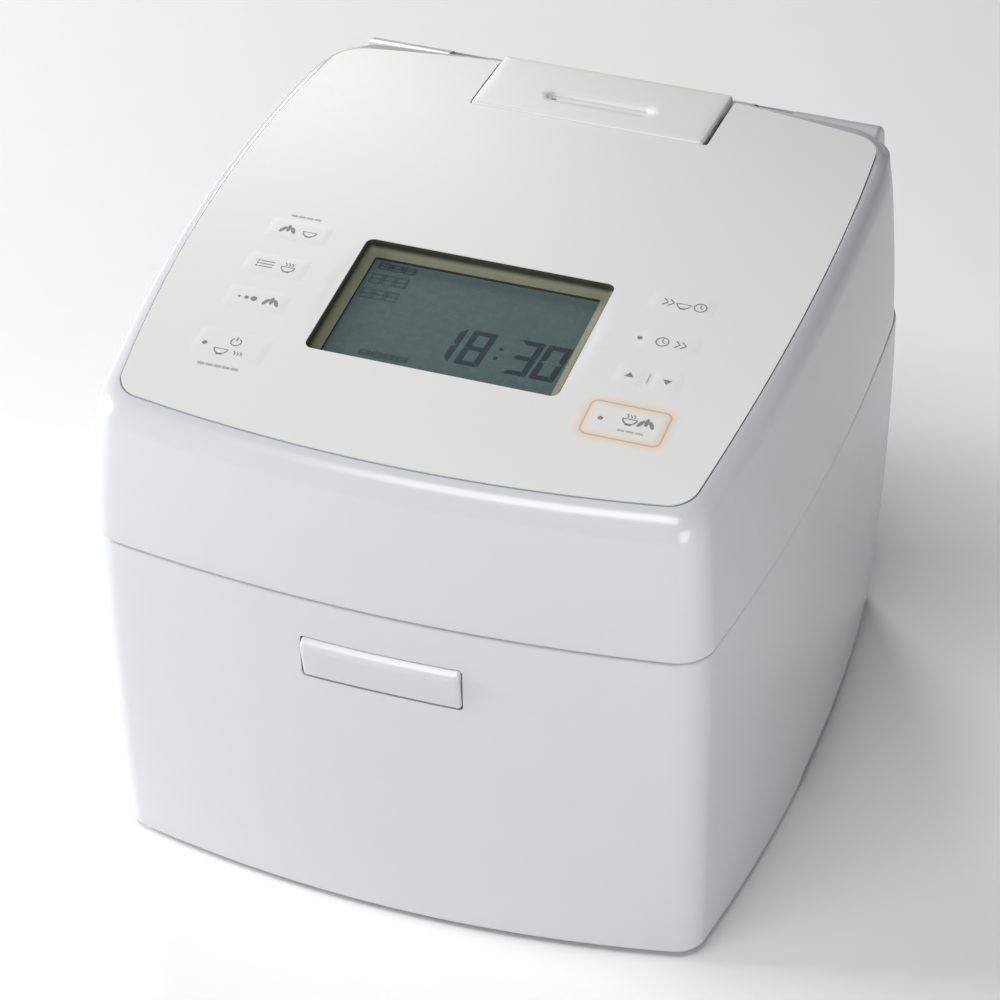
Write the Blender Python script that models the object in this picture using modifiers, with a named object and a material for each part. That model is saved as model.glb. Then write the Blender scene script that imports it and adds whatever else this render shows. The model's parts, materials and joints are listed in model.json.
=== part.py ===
"""Countertop rice cooker with a rear-hinged lid, a push latch, touch keys and a lift-out steam cap.

Metres, +Z up, -Y is the front. The origin is on the table, under the middle of the body.
"""
import math
from collections import namedtuple

import bmesh
import bpy
from mathutils import Matrix, Vector

# ---------------------------------------------------------------- driving sizes
WALL = 0.0025                    # moulded case wall
GAP = 0.0003                     # between pieces that touch
SLIP = 0.0006                    # between pieces that move past each other

FOOT_HEIGHT = 0.003
BODY_HEIGHT = 0.1475             # case, from its lower edge to the lid seam
SEAM_GAP = 0.0007                # open line between body and lid
LID_HEIGHT = 0.0700              # from the seam to the control panel, at mid depth, before its crown
PANEL_SLOPE = 0.075              # panel rises towards the back
PANEL_CROWN = 0.00685            # and is gently domed from front to back
PANEL_CROWN_REACH = 0.125
PANEL_THICK = 0.002
LID_WALL = 0.0022
LID_PROUD = 0.001                # lid stands this far outside the body at the seam

POT_RADIUS = 0.0945
POT_DEPTH = 0.114
POT_WALL = 0.002
POT_FLANGE = 0.0075
POT_Y = -0.005
SHAFT_RADIUS = 0.002
BARREL_RADIUS = 0.0095
HINGE_HALF_WIDTH = 0.111

BASE_Z = FOOT_HEIGHT
SEAM_Z = BASE_Z + BODY_HEIGHT
LID_Z = SEAM_Z + SEAM_GAP
PANEL_HEIGHT = SEAM_Z + LID_HEIGHT
CUT_LOW = PANEL_HEIGHT - 0.0305  # a cutter between these heights passes right through the panel
CUT_HIGH = PANEL_HEIGHT + 0.0295

# A plan outline is a rectangle whose four sides bow outwards and whose corners are rounded.
Outline = namedtuple("Outline", "w_front w_back y_front y_back side_bow front_bow back_bow r_front r_back")
BASE = Outline(0.1202, 0.1178, -0.1245, 0.1290, 0.0102, 0.0146, 0.0098, 0.008, 0.016)
SEAM = Outline(0.1220, 0.1249, -0.1300, 0.1328, 0.0074, 0.0108, 0.0102, 0.0107, 0.022)
PANEL = Outline(0.1122, 0.1154, -0.1180, 0.1165, 0.0076, 0.0094, 0.0126, 0.008, 0.010)
SIDE_BELLY = 0.638               # how much the case fills out between its lower edge and the seam
SIDE_POINTS = 6
CORNER_POINTS = 3

HINGE_Y = 0.1327
HINGE_RISE = 0.0050              # top of the hinge barrel above the panel height
HINGE_Z = PANEL_HEIGHT + HINGE_RISE - BARREL_RADIUS
LID_REAR = HINGE_Y - BARREL_RADIUS - SLIP

WINDOW = (-0.0528, 0.0480, -0.0776, -0.0110)     # clear window: x low, x high, y low, y high
FRAME_SPAN = (0.0032, 0.0048)                    # display frame: upper and lower face below the panel surface
FRAME_LAP = 0.0030                               # it reaches this far under the panel
FRAME_INSET = 0.0043                             # and this far in under the window
LCD_SPAN = (0.0054, 0.0070)
CAP_HALF_WIDTH = 0.0494
CAP_FRONT = 0.0908
CAP_REAR = 0.1320
CAP_THICK = 0.0035
CAP_GROOVE = 0.0020                              # finger groove along the right end of the cap
CAP_SLOT = (0.0218, 0.0030, 0.1065)              # steam recess: half length, half width, y
CAP_SLOT_DEPTH = 0.0013
CAP_VENT_RADIUS = 0.0012                         # steam hole near the left end of the recess
WELL = (0.0425, 0.0935, 0.1185)                  # half width, y low, y high
STEAM_VENT_Y = 0.078
STEAM_VENT_RADIUS = 0.006

BUTTON = (0.0320, SEAM_Z - 0.0365, SEAM_Z - 0.0182)    # half width, z low, z high of its opening in the case
BUTTON_PROUD = 0.0030                            # its top edge stands this far out, its lower edge is flush
BUTTON_FLUSH = 0.0004
BUTTON_DEEP = 0.0060
LATCH_Y = -0.1280
LATCH_Z = SEAM_Z - 0.0405
LATCH_PIN_RADIUS = 0.0015
LATCH_SLOT = (0.012, -0.1362, -0.1205)           # half width, y low, y high

# name, x, y, half width, half depth of each key
KEYS = [
    ("key_rice", -0.0805, -0.0150, 0.0130, 0.0065),
    ("key_mode", -0.0809, -0.0375, 0.0130, 0.0065),
    ("key_texture", -0.0803, -0.0580, 0.0130, 0.0065),
    ("key_off", -0.0793, -0.0850, 0.0150, 0.0080),
    ("key_quick", 0.0761, -0.0150, 0.0130, 0.0065),
    ("key_timer", 0.0787, -0.0380, 0.0120, 0.0065),
    ("key_hour", 0.0700, -0.0590, 0.0060, 0.0065),
    ("key_minute", 0.0845, -0.0590, 0.0060, 0.0065),
    ("key_start", 0.0770, -0.0840, 0.0155, 0.0090),
]
KEY_DEPTH = 0.005
KEY_CORNER = 0.003

BOARD_DEPTH = 0.0082                             # control board below the panel surface
BOARD_THICK = 0.0016

FOOT_X, FOOT_FRONT, FOOT_REAR, FOOT_RADIUS = 0.085, -0.100, 0.1205, 0.010
FAN_CENTRE = (0.082, 0.090)
FAN_HALF, FAN_HEIGHT, FAN_BORE = 0.025, 0.015, 0.0225
GRIP = (-0.0140, 0.0690, 0.1085, 0.1222, 0.020)  # y low, y high, x inner, x outer, z top

WHITE = (0.80, 0.80, 0.83)
PANEL_WHITE = (0.72, 0.72, 0.71)
STEEL = (0.60, 0.60, 0.62)
DARK = (0.05, 0.05, 0.055)


# ---------------------------------------------------------------- scene helpers
def clear_scene():
    for obj in list(bpy.data.objects):
        bpy.data.objects.remove(obj, do_unlink=True)


def collection(name):
    made = bpy.data.collections.new(name)
    bpy.context.scene.collection.children.link(made)
    return made


def material(name, color, roughness=0.4, metallic=0.0, alpha=1.0):
    mat = bpy.data.materials.new(name)
    mat.use_nodes = True
    shader = mat.node_tree.nodes["Principled BSDF"]
    shader.inputs["Base Color"].default_value = (*color, 1.0)
    shader.inputs["Roughness"].default_value = roughness
    shader.inputs["Metallic"].default_value = metallic
    shader.inputs["Alpha"].default_value = alpha
    return mat


def add(name, mesh, mat, location=(0, 0, 0)):
    obj = bpy.data.objects.new(name, mesh)
    obj.location = location
    if mat:
        mesh.materials.append(mat)
    PARTS.objects.link(obj)
    return obj


def guide(obj):
    """Turn an object into a hidden cutter."""
    PARTS.objects.unlink(obj)
    CUTTERS.objects.link(obj)
    obj.hide_render = True
    obj.display_type = "WIRE"
    return obj


def smooth(obj, degrees=35):
    obj.data.shade_smooth()
    obj.data.set_sharp_from_angle(angle=math.radians(degrees))
    return obj


def ride_on(obj, pivot, where):
    obj.parent = pivot
    obj.matrix_parent_inverse = Matrix.Translation(where).inverted()


# ---------------------------------------------------------------- primitive shapes
def box(name, low, high, mat=None, tilt=0.0):
    low, high = Vector(low), Vector(high)
    size = high - low
    bm = bmesh.new()
    bmesh.ops.create_cube(bm, size=1.0, matrix=Matrix.Diagonal((*size, 1.0)))
    mesh = bpy.data.meshes.new(name)
    bm.to_mesh(mesh)
    bm.free()
    obj = add(name, mesh, mat, (low + high) / 2)
    obj.rotation_euler = (tilt, 0, 0)
    return obj


def rod(name, centre, radius, length, mat=None, axis="Z", segments=24):
    bm = bmesh.new()
    bmesh.ops.create_cone(bm, cap_ends=True, segments=segments, radius1=radius, radius2=radius, depth=length)
    mesh = bpy.data.meshes.new(name)
    bm.to_mesh(mesh)
    bm.free()
    obj = add(name, mesh, mat, centre)
    turn = {"X": (0, math.pi / 2, 0), "Y": (math.pi / 2, 0, 0), "Z": (0, 0, 0)}
    obj.rotation_euler = turn[axis]
    return smooth(obj)


def turned(name, profile, centre, mat=None, steps=40, ring=False, axis="Z"):
    """Spin (radius, height) points that run down the outer side, from top to bottom."""
    mesh = bpy.data.meshes.new(name)
    last = len(profile)
    edges = [(i, i + 1) for i in range(last - 1)]
    if ring:
        edges.append((last - 1, 0))
    mesh.from_pydata([(r, 0.0, z) for r, z in profile], edges, [])
    obj = add(name, mesh, mat, centre)
    spin = obj.modifiers.new("Screw", "SCREW")
    spin.angle = 2 * math.pi
    spin.steps = spin.render_steps = steps
    spin.use_merge_vertices = True
    spin.merge_threshold = 0.00005
    spin.use_smooth_shade = False
    if axis == "Y":
        obj.rotation_euler = (math.pi / 2, 0, 0)
    return obj


def flat_plate(name, loops, z_low, z_high, mat=None):
    """Extrude filled outlines; an outline inside another is a hole."""
    curve = bpy.data.curves.new(name, "CURVE")
    curve.dimensions = "2D"
    curve.fill_mode = "BOTH"
    curve.extrude = (z_high - z_low) / 2
    for loop in loops:
        spline = curve.splines.new("POLY")
        spline.points.add(len(loop) - 1)
        for point, (x, y) in zip(spline.points, loop):
            point.co = (x, y, 0, 1)
        spline.use_cyclic_u = True
    return as_mesh(name, curve, (0, 0, (z_low + z_high) / 2), mat)


def wire(name, path, radius, mat=None, location=(0, 0, 0)):
    curve = bpy.data.curves.new(name, "CURVE")
    curve.dimensions = "3D"
    curve.bevel_depth = radius
    curve.bevel_resolution = 2
    curve.use_fill_caps = True
    spline = curve.splines.new("POLY")
    spline.points.add(len(path) - 1)
    for point, co in zip(spline.points, path):
        point.co = (*co, 1)
    return as_mesh(name, curve, location, mat)


def as_mesh(name, curve, location, mat):
    """Make a curve a closed mesh object, so that it can be cut and joined."""
    temp = bpy.data.objects.new(name + "_curve", curve)
    temp.location = location
    PARTS.objects.link(temp)
    bpy.context.view_layer.update()
    evaluated = temp.evaluated_get(bpy.context.evaluated_depsgraph_get())
    mesh = bpy.data.meshes.new_from_object(evaluated)
    bm = bmesh.new()
    bm.from_mesh(mesh)
    bmesh.ops.remove_doubles(bm, verts=bm.verts, dist=0.00002)
    bmesh.ops.recalc_face_normals(bm, faces=bm.faces)
    bm.to_mesh(mesh)
    bm.free()
    mesh.materials.clear()
    matrix = temp.matrix_world.copy()
    bpy.data.objects.remove(temp, do_unlink=True)
    mesh.name = name
    obj = add(name, mesh, mat)
    obj.matrix_world = matrix
    return obj


def loft(name, rings, mat=None, close_low=False, close_top=False, wrap=False):
    """Skin closed rings of equal length, from the lowest up; wrap joins the last ring to the first."""
    count = len(rings[0])
    verts = [point for ring in rings for point in ring]
    faces = []
    for level in range(len(rings) if wrap else len(rings) - 1):
        for i in range(count):
            j = (i + 1) % count
            low, high = level * count, (level + 1) % len(rings) * count
            faces.append((low + i, low + j, high + j, high + i))
    if close_top:
        top = (len(rings) - 1) * count
        verts.append(tuple(sum(axis) / count for axis in zip(*rings[-1])))
        faces += [(top + i, top + (i + 1) % count, len(verts) - 1) for i in range(count)]
    if close_low:
        verts.append(tuple(sum(axis) / count for axis in zip(*rings[0])))
        faces += [((i + 1) % count, i, len(verts) - 1) for i in range(count)]
    mesh = bpy.data.meshes.new(name)
    mesh.from_pydata(verts, [], faces)
    return smooth(add(name, mesh, mat))


# ---------------------------------------------------------------- modifiers
def shell(obj, thickness):
    solid = obj.modifiers.new("Solidify", "SOLIDIFY")
    solid.thickness = thickness
    solid.offset = -1
    solid.use_even_offset = True


def bevel(obj, width, segments=2, degrees=50):
    edge = obj.modifiers.new("Bevel", "BEVEL")
    edge.width = width
    edge.segments = segments
    edge.limit_method = "ANGLE"
    edge.angle_limit = math.radians(degrees)


def boolean(obj, tool, operation):
    change = obj.modifiers.new(operation.title(), "BOOLEAN")
    change.operation = operation
    change.solver = "EXACT"
    change.object = guide(tool) if tool.name in PARTS.objects else tool


def cut(obj, *tools):
    for tool in tools:
        boolean(obj, tool, "DIFFERENCE")


def unite(obj, *tools):
    for tool in tools:
        boolean(obj, tool, "UNION")


# ---------------------------------------------------------------- plan outlines
def blend(a, b, share):
    return Outline(*(p + (q - p) * share for p, q in zip(a, b)))


def shrink(o, inset):
    return o._replace(
        w_front=o.w_front - inset, w_back=o.w_back - inset,
        y_front=o.y_front + inset, y_back=o.y_back - inset,
    )


def plan(o):
    """Points of an outline, anticlockwise from the front left corner."""
    corners = [Vector((-o.w_front, o.y_front)), Vector((o.w_front, o.y_front)),
               Vector((o.w_back, o.y_back)), Vector((-o.w_back, o.y_back))]
    bows = [o.front_bow, o.side_bow, o.back_bow, o.side_bow]
    radii = [o.r_front, o.r_front, o.r_back, o.r_back]
    sides = []
    for i, (bow, start) in enumerate(zip(bows, corners)):
        run = corners[(i + 1) % 4] - start
        out = Vector((run.y, -run.x)).normalized()
        first, last = radii[i] / run.length, 1 - radii[(i + 1) % 4] / run.length
        shares = [first + (last - first) * k / (SIDE_POINTS - 1) for k in range(SIDE_POINTS)]
        sides.append([start + run * s + out * (bow * 4 * s * (1 - s)) for s in shares])
    points = []
    for i, side in enumerate(sides):
        points += side
        a, c, b = side[-1], corners[(i + 1) % 4], sides[(i + 1) % 4][0]
        for k in range(1, CORNER_POINTS + 1):
            points.append(round_corner(a, c, b, k / (CORNER_POINTS + 1)))
    return points


def round_corner(a, corner, b, t):
    """A near-circular arc from a to b inside the corner."""
    pull = 0.5523
    first, second = a.lerp(corner, pull), b.lerp(corner, pull)
    s = 1 - t
    return a * s ** 3 + first * (3 * s * s * t) + second * (3 * s * t * t) + b * t ** 3


def rounded_rectangle(x, y, half_x, half_y, radius, steps=3):
    points = []
    for quarter, (sx, sy) in enumerate(((1, 1), (-1, 1), (-1, -1), (1, -1))):
        for k in range(steps + 1):
            angle = (quarter + k / steps) * math.pi / 2
            points.append((x + sx * (half_x - radius) + radius * math.cos(angle),
                           y + sy * (half_y - radius) + radius * math.sin(angle)))
    return points


def circle(x, y, radius, steps=40):
    return [(x + radius * math.cos(2 * math.pi * k / steps), y + radius * math.sin(2 * math.pi * k / steps))
            for k in range(steps)]


def level_ring(outline, z):
    return [(p.x, p.y, z) for p in plan(outline)]


def body_outline(z):
    """Outside of the case at a height."""
    t = (z - BASE_Z) / BODY_HEIGHT
    return blend(BASE, SEAM, t + 2 * SIDE_BELLY * t * (1 - t))


def panel_z(y):
    return PANEL_HEIGHT + PANEL_SLOPE * y + PANEL_CROWN * (1 - ((y + 0.00125) / PANEL_CROWN_REACH) ** 2)


def panel_tilt(y):
    return math.atan(PANEL_SLOPE - 2 * PANEL_CROWN * (y + 0.00125) / PANEL_CROWN_REACH ** 2)


def panel_sheet(name, thickness, grow=0.0, lift=0.0, mat=None):
    """A sheet of the panel's curved surface, thickened downwards."""
    edge = plan(shrink(PANEL, -grow))
    rings = []
    for share in (1.0, 0.8, 0.6, 0.4, 0.2):
        rings.append([(p.x * share, p.y * share, panel_z(p.y * share) + lift) for p in edge])
    sheet = loft(name, rings, mat, close_top=True)
    shell(sheet, thickness)
    return sheet


# ---------------------------------------------------------------- body
def body_shell(mat):
    """Case wall: up the outside, over the rounded rim and down the inside."""
    edges = [(0.0, 0.0015), (0.0012, 0.0004), (0.0040, 0.0)]
    rings = [level_ring(shrink(body_outline(BASE_Z + up), inset), BASE_Z + up) for up, inset in edges]
    for share in (0.15, 0.35, 0.6, 0.85):
        z = BASE_Z + BODY_HEIGHT * share
        rings.append(level_ring(body_outline(z), z))
    for down, inset in ((0.0022, 0.0), (0.0009, 0.0003), (0.0, 0.0012)):
        rings.append(level_ring(shrink(body_outline(SEAM_Z - down), inset), SEAM_Z - down))
    rings.append(level_ring(shrink(body_outline(SEAM_Z), WALL), SEAM_Z))
    for share in (0.85, 0.35, 0.12, 0.03, 0.0):
        z = BASE_Z + BODY_HEIGHT * share
        inset = WALL + (0.0015 if share == 0.0 else 0.0)
        rings.append(level_ring(shrink(body_outline(z), inset), z))
    case = loft("body_shell", rings, mat, wrap=True)
    cut(case, button_block("button_opening", SLIP))
    y_low, y_high = GRIP[:2]
    cut(case, box("grip_opening", (-0.15, y_low, -0.01), (0.15, y_high, BASE_Z + 0.0045)))
    x, z, radius = OUTLET
    cut(case, rod("outlet_opening", (x, 0.135, z), radius + GAP, 0.03, axis="Y"))
    for k in range(5):
        x = 0.030 + 0.011 * k
        cut(case, box("rear_vent_%d" % k, (x, 0.12, 0.060), (x + 0.0035, 0.16, 0.088)))


def base_plate(mat):
    outline = shrink(body_outline(BASE_Z), 0.0015 + WALL + 0.0006)
    z_low, z_high = BASE_Z, BASE_Z + WALL
    plate = flat_plate("base_plate", [[tuple(p) for p in plan(outline)]], z_low, z_high, mat)
    grip_pockets(plate)
    x, y = FAN_CENTRE
    for k in range(5):
        low = y - 0.0185 + 0.0085 * k
        cut(plate, box("intake_%d" % k, (x - 0.017, low, 0.0), (x + 0.017, low + 0.003, 0.02)))
    for leg_x, leg_y in leg_places():
        cut(plate, rod("screw_hole", (leg_x, leg_y, z_low), 0.0018, 0.02, segments=12))


def grip_pockets(plate):
    """A pocket moulded into the base at each side, open downwards, for the fingers of one hand."""
    y_low, y_high, x_in, x_out, z_top = GRIP
    wall = 0.0015
    for side in (-1, 1):
        x_a, x_b = sorted((side * x_in, side * x_out))
        unite(plate, box("grip_pocket", (x_a, y_low, BASE_Z), (x_b, y_high, z_top)))
        cut(plate, box("grip_hollow", (x_a + wall, y_low + wall, 0), (x_b - wall, y_high - wall, z_top - wall)))


def feet(mat):
    places = [(-FOOT_X, FOOT_FRONT), (FOOT_X, FOOT_FRONT), (-FOOT_X, FOOT_REAR), (FOOT_X, FOOT_REAR)]
    names = ["foot_front_left", "foot_front_right", "foot_rear_left", "foot_rear_right"]
    height = FOOT_HEIGHT - GAP
    r = FOOT_RADIUS
    profile = [(0, height), (r, height), (r, 0.0006), (r - 0.0008, 0), (0, 0)]
    for name, (x, y) in zip(names, places):
        turned(name, profile, (x, y, 0), mat, steps=20)


def leg_places():
    reach = (BOWL_INNER + BOWL_WALL - 0.0195) / math.sqrt(2)
    return [(sx * reach, POT_Y + sy * reach) for sx in (-1, 1) for sy in (-1, 1)]


def base_screws(mat):
    """Each screw is a head under the plate and a shank in a leg of the pot well."""
    head_r, shank_r, head_low, head_high, tip = 0.003, 0.0014, 0.0009, BASE_Z - GAP, 0.0130
    profile = [(0, tip), (shank_r, tip), (shank_r, head_high), (head_r, head_high), (head_r, head_low), (0, head_low)]
    names = ["screw_front_left", "screw_rear_left", "screw_front_right", "screw_rear_right"]
    for name, place in zip(names, leg_places()):
        turned(name, profile, (*place, 0), mat, steps=12)


DECK_THICK = 0.0025
DECK_TOP = SEAM_Z - 0.0015
POT_TOP = DECK_TOP + GAP + 0.0015


def top_frame(mat):
    """Deck inside the rim of the case. The pot hangs in its round hole."""
    outline = shrink(body_outline(DECK_TOP), WALL + 0.0006)
    outside = [tuple(p) for p in plan(outline)]
    hole = circle(0, POT_Y, POT_RADIUS + 0.0015)
    deck = flat_plate("top_frame", [outside, hole], DECK_TOP - DECK_THICK, DECK_TOP, mat)
    half, y_low, y_high = LATCH_SLOT
    cut(deck, box("deck_slot", (-half, y_low, DECK_TOP - 0.019), (half, y_high, DECK_TOP + 0.021)))


BOWL_INNER = POT_RADIUS + 0.0030
BOWL_WALL = 0.002
POT_BOTTOM = POT_TOP - POT_DEPTH
BOWL_FLOOR = POT_BOTTOM - 0.0015
SENSOR_HOLE = 0.0195


def pot_well(mat):
    """Heat shield round the pot: a turned bowl with a flange and four legs."""
    top = DECK_TOP - DECK_THICK - GAP
    outer, inner = BOWL_INNER + BOWL_WALL, BOWL_INNER
    low = BOWL_FLOOR - BOWL_WALL
    profile = [
        (inner, top), (outer + 0.009, top), (outer + 0.009, top - 0.002), (outer, top - 0.002),
        (outer, low + 0.026), (outer - 0.007, low + 0.009), (outer - 0.022, low), (SENSOR_HOLE, low),
        (SENSOR_HOLE, BOWL_FLOOR), (inner - 0.022, BOWL_FLOOR), (inner - 0.007, BOWL_FLOOR + 0.009),
        (inner, BOWL_FLOOR + 0.026),
    ]
    bowl = turned("pot_well", profile, (0, POT_Y, 0), mat, steps=40, ring=True)
    foot = BASE_Z + WALL + GAP
    for x, y in leg_places():
        leg = rod("bowl_leg", (x, y, (foot + BOWL_FLOOR - 0.0008) / 2), 0.005, BOWL_FLOOR - 0.0008 - foot)
        unite(bowl, leg)
        cut(bowl, rod("leg_hole", (x, y, foot), 0.0017, 0.024, segments=12))


def inner_pot(mat):
    """One open profile: out along the inside of the bottom, up, over the rim and down the outside."""
    r, wall, low = POT_RADIUS, POT_WALL, POT_BOTTOM
    curve = [(0.028, 0.0), (0.014, 0.004), (0.004, 0.014), (0.0, 0.028)]
    inside = [(r - wall - back, low + wall + up) for back, up in curve]
    outside = [(r - back, low + up) for back, up in reversed(curve)]
    lip = r + POT_FLANGE
    rim = [(r - wall, POT_TOP), (lip, POT_TOP), (lip, POT_TOP - 0.0015), (r, POT_TOP - 0.0015)]
    turned("inner_pot", [(0, low + wall)] + inside + rim + outside + [(0, low)], (0, POT_Y, 0), mat, steps=40)


COIL_INNER = 0.029
COIL_OUTER = BOWL_INNER + BOWL_WALL - 0.0335
COIL_TOP = BOWL_FLOOR - BOWL_WALL - GAP
COIL_LOW = COIL_TOP - 0.0045
CRADLE_LOW = COIL_LOW - GAP - 0.0025
FERRITE_LOW = CRADLE_LOW - GAP - 0.0055


def ring_profile(r_in, r_out, z_low, z_high):
    return [(r_in, z_high), (r_out, z_high), (r_out, z_low), (r_in, z_low)]


def heating_coils(copper, plastic, iron):
    centre = (0, POT_Y, 0)
    bottom = ring_profile(COIL_INNER, COIL_OUTER, COIL_LOW, COIL_TOP)
    turned("bottom_coil", bottom, centre, copper, ring=True)
    wall = BOWL_INNER + BOWL_WALL + GAP
    side = ring_profile(wall, wall + 0.005, POT_TOP - 0.0848, POT_TOP - 0.0628)
    turned("side_coil", side, centre, copper, ring=True)
    cradle = ring_profile(0.0225, COIL_OUTER + 0.004, CRADLE_LOW, CRADLE_LOW + 0.0025)
    turned("coil_cradle", cradle, centre, plastic, ring=True)
    half, reach = (COIL_OUTER - COIL_INNER) / 2, (COIL_OUTER + COIL_INNER) / 2
    band = ring_profile(reach - 0.0035, reach + 0.0025, FERRITE_LOW, FERRITE_LOW + 0.002)
    carrier = turned("ferrite_bars", band, centre, iron, ring=True)
    middle = FERRITE_LOW + 0.00275
    for k in range(4):
        angle = k * math.pi / 2
        bar = box("ferrite_bar", (-half, -0.006, -0.00275), (half, 0.006, 0.00275))
        bar.location = (reach * math.cos(angle), POT_Y + reach * math.sin(angle), middle)
        bar.rotation_euler = (0, 0, angle)
        unite(carrier, bar)


CAP_TOP = POT_BOTTOM - GAP
HOUSING_FLOOR = BOWL_FLOOR - 0.0158


def temperature_sensor(plastic, steel, spring_steel):
    """Spring-loaded button that touches the middle of the pot from below."""
    centre = (0, POT_Y, 0)
    outer, inner = SENSOR_HOLE - GAP, SENSOR_HOLE - GAP - 0.0022
    top, low = BOWL_FLOOR - 0.0002, HOUSING_FLOOR - 0.0015
    cup = [(0, HOUSING_FLOOR), (inner, HOUSING_FLOOR), (inner, top), (outer, top), (outer, low), (0, low)]
    turned("sensor_housing", cup, centre, plastic, steps=32)
    stem_low, brim = CAP_TOP - 0.0095, CAP_TOP - 0.0020
    cap = [(0, CAP_TOP), (0.0155, CAP_TOP), (0.0155, brim), (0.0100, brim), (0.0100, stem_low), (0, stem_low)]
    button = turned("sensor_cap", cap, centre, steel, steps=32)
    low_end, high_end = HOUSING_FLOOR + GAP + 0.0007, stem_low - GAP - 0.0007
    turns, steps = 2, 8
    path = []
    for k in range(turns * steps + 1):
        angle = 2 * math.pi * k / steps
        z = low_end + (high_end - low_end) * k / (turns * steps)
        path.append((0.007 * math.cos(angle), 0.007 * math.sin(angle), z))
    wire("sensor_spring", path, 0.0006, spring_steel, centre)
    return button


BRACKET_Y = 0.1160


def electronics(steel, green, aluminium):
    foot = BASE_Z + WALL + GAP
    bracket = box("board_bracket", (-0.072, BRACKET_Y, foot), (0.072, BRACKET_Y + 0.0015, 0.118), steel)
    cut(bracket, box("bracket_window", (-0.030, 0.11, 0.060), (0.030, 0.12, 0.095)))
    board_y = BRACKET_Y - GAP
    board = box("main_board", (-0.070, board_y - 0.0016, 0.026), (0.070, board_y, 0.116), green)
    face = board_y - 0.0016 - GAP
    sink = box("heat_sink", (0.022, face - 0.002, 0.040), (0.062, face, 0.105), aluminium)
    for k in range(6):
        x = 0.022 + 0.00768 * k
        unite(sink, box("fin", (x, face - 0.0120, 0.040), (x + 0.0016, face - 0.0010, 0.105)))
    unite(board, rod("capacitor", (-0.048, face - 0.0055, 0.098), 0.009, 0.013, axis="Y"))


def fan(black, grey):
    x, y = FAN_CENTRE
    low = BASE_Z + WALL + GAP
    high = low + FAN_HEIGHT
    loops = [rounded_rectangle(x, y, FAN_HALF, FAN_HALF, 0.003), circle(x, y, FAN_BORE, 40)]
    frame = flat_plate("fan_frame", loops,
                       low, high, black)
    unite(frame, rod("motor_seat", (x, y, low + 0.001), 0.008, 0.002))
    for k in range(3):
        angle = 2 * math.pi * k / 3 + 0.5
        strut = box("strut", (0.005, -0.0012, -0.001), (FAN_BORE + 0.001, 0.0012, 0.0009))
        strut.location = (x + 0.0145 * math.cos(angle), y + 0.0145 * math.sin(angle), low + 0.001)
        strut.rotation_euler = (0, 0, angle)
        unite(frame, strut)
    blade_low, blade_high = low + 0.002 + SLIP, high - 0.001
    hub = rod("fan_rotor", (x, y, (blade_low + blade_high) / 2), 0.0085, blade_high - blade_low, grey, segments=28)
    for k in range(7):
        angle = 2 * math.pi * k / 7
        blade = box("blade", (-0.0075, -0.0006, -0.0042), (0.0075, 0.0006, 0.0042))
        blade.location = (x + 0.0138 * math.cos(angle), y + 0.0138 * math.sin(angle), (blade_low + blade_high) / 2)
        blade.rotation_euler = (math.radians(50), 0, angle)
        unite(hub, blade)


OUTLET = (-0.075, 0.030, 0.0085)                 # x, z, barrel radius


def cord_outlet(mat):
    """Round bezel in the rear wall, where the mains lead would leave."""
    x, z, r = OUTLET
    bore, flange, proud, deep = r - 0.0035, r + 0.0030, 0.0020, -0.0060
    profile = [(bore, proud), (flange, proud), (flange, 0), (r, 0), (r, deep), (bore, deep)]
    face = body_rear(abs(x) - flange, z) + GAP
    bezel = turned("cord_outlet", profile, (x, face, z), mat, steps=28, ring=True)
    bezel.rotation_euler = (-math.pi / 2, 0, 0)


def body_rear(x, z):
    """Rear face of the case at a width and a height."""
    o = body_outline(z)
    share = (x / o.w_back + 1) / 2
    return o.y_back + o.back_bow * 4 * share * (1 - share)


# ---------------------------------------------------------------- hinge
ARM = (0.0580, 0.0740)                           # inner and outer face of each hinge arm
ARM_HALF = 0.0035
SPRING_HALF = 0.012


def hinge(white, steel, spring_steel):
    y, z, r = HINGE_Y, HINGE_Z, BARREL_RADIUS
    front, rear, foot = y - r, y + r, DECK_TOP + GAP
    rise = SEAM_Z + SLIP
    neck = front + WALL
    arc = [(y + r * math.cos(math.pi * k / 12), z + r * math.sin(math.pi * k / 12)) for k in range(13)]
    side = [(front, foot), (neck, foot), (neck, rise), (rear, rise)] + arc
    housing = flat_plate("hinge_housing", [side], -HINGE_HALF_WIDTH, HINGE_HALF_WIDTH, white)
    housing.matrix_world = Matrix(((0, 0, 1, 0), (1, 0, 0, 0), (0, 1, 0, 0), (0, 0, 0, 1)))
    half = HINGE_HALF_WIDTH - WALL
    top = z - r - 0.003
    cut(housing, box("housing_hollow", (-half, neck, rise - 0.01), (half, rear - WALL, top)))
    for side_sign in (-1, 1):
        x_a, x_b = sorted((side_sign * (ARM[0] - SLIP), side_sign * (ARM[1] + SLIP)))
        cut(housing, box("arm_notch", (x_a, y - 0.020, z - ARM_HALF - 0.0040), (x_b, y + 0.0068, z + 0.02)))
    cut(housing, box("spring_notch", (-SPRING_HALF, y - 0.020, z - 0.0068), (SPRING_HALF, y + 0.0068, z + 0.02)))
    reach = 0.095
    cut(housing, rod("shaft_bore", (0, y, z), SHAFT_RADIUS + GAP, 2 * reach, axis="X"))
    rod("hinge_shaft", (0, y, z), SHAFT_RADIUS, 2 * (reach - GAP), steel, axis="X")
    turns, steps, radius = 4, 8, 0.0038
    path = []
    for k in range(turns * steps + 1):
        angle = 2 * math.pi * k / steps
        x = -0.009 + 0.018 * k / (turns * steps)
        path.append((x, radius * math.cos(angle), radius * math.sin(angle)))
    wire("hinge_spring", path, 0.0010, spring_steel, (0, y, z))


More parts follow.
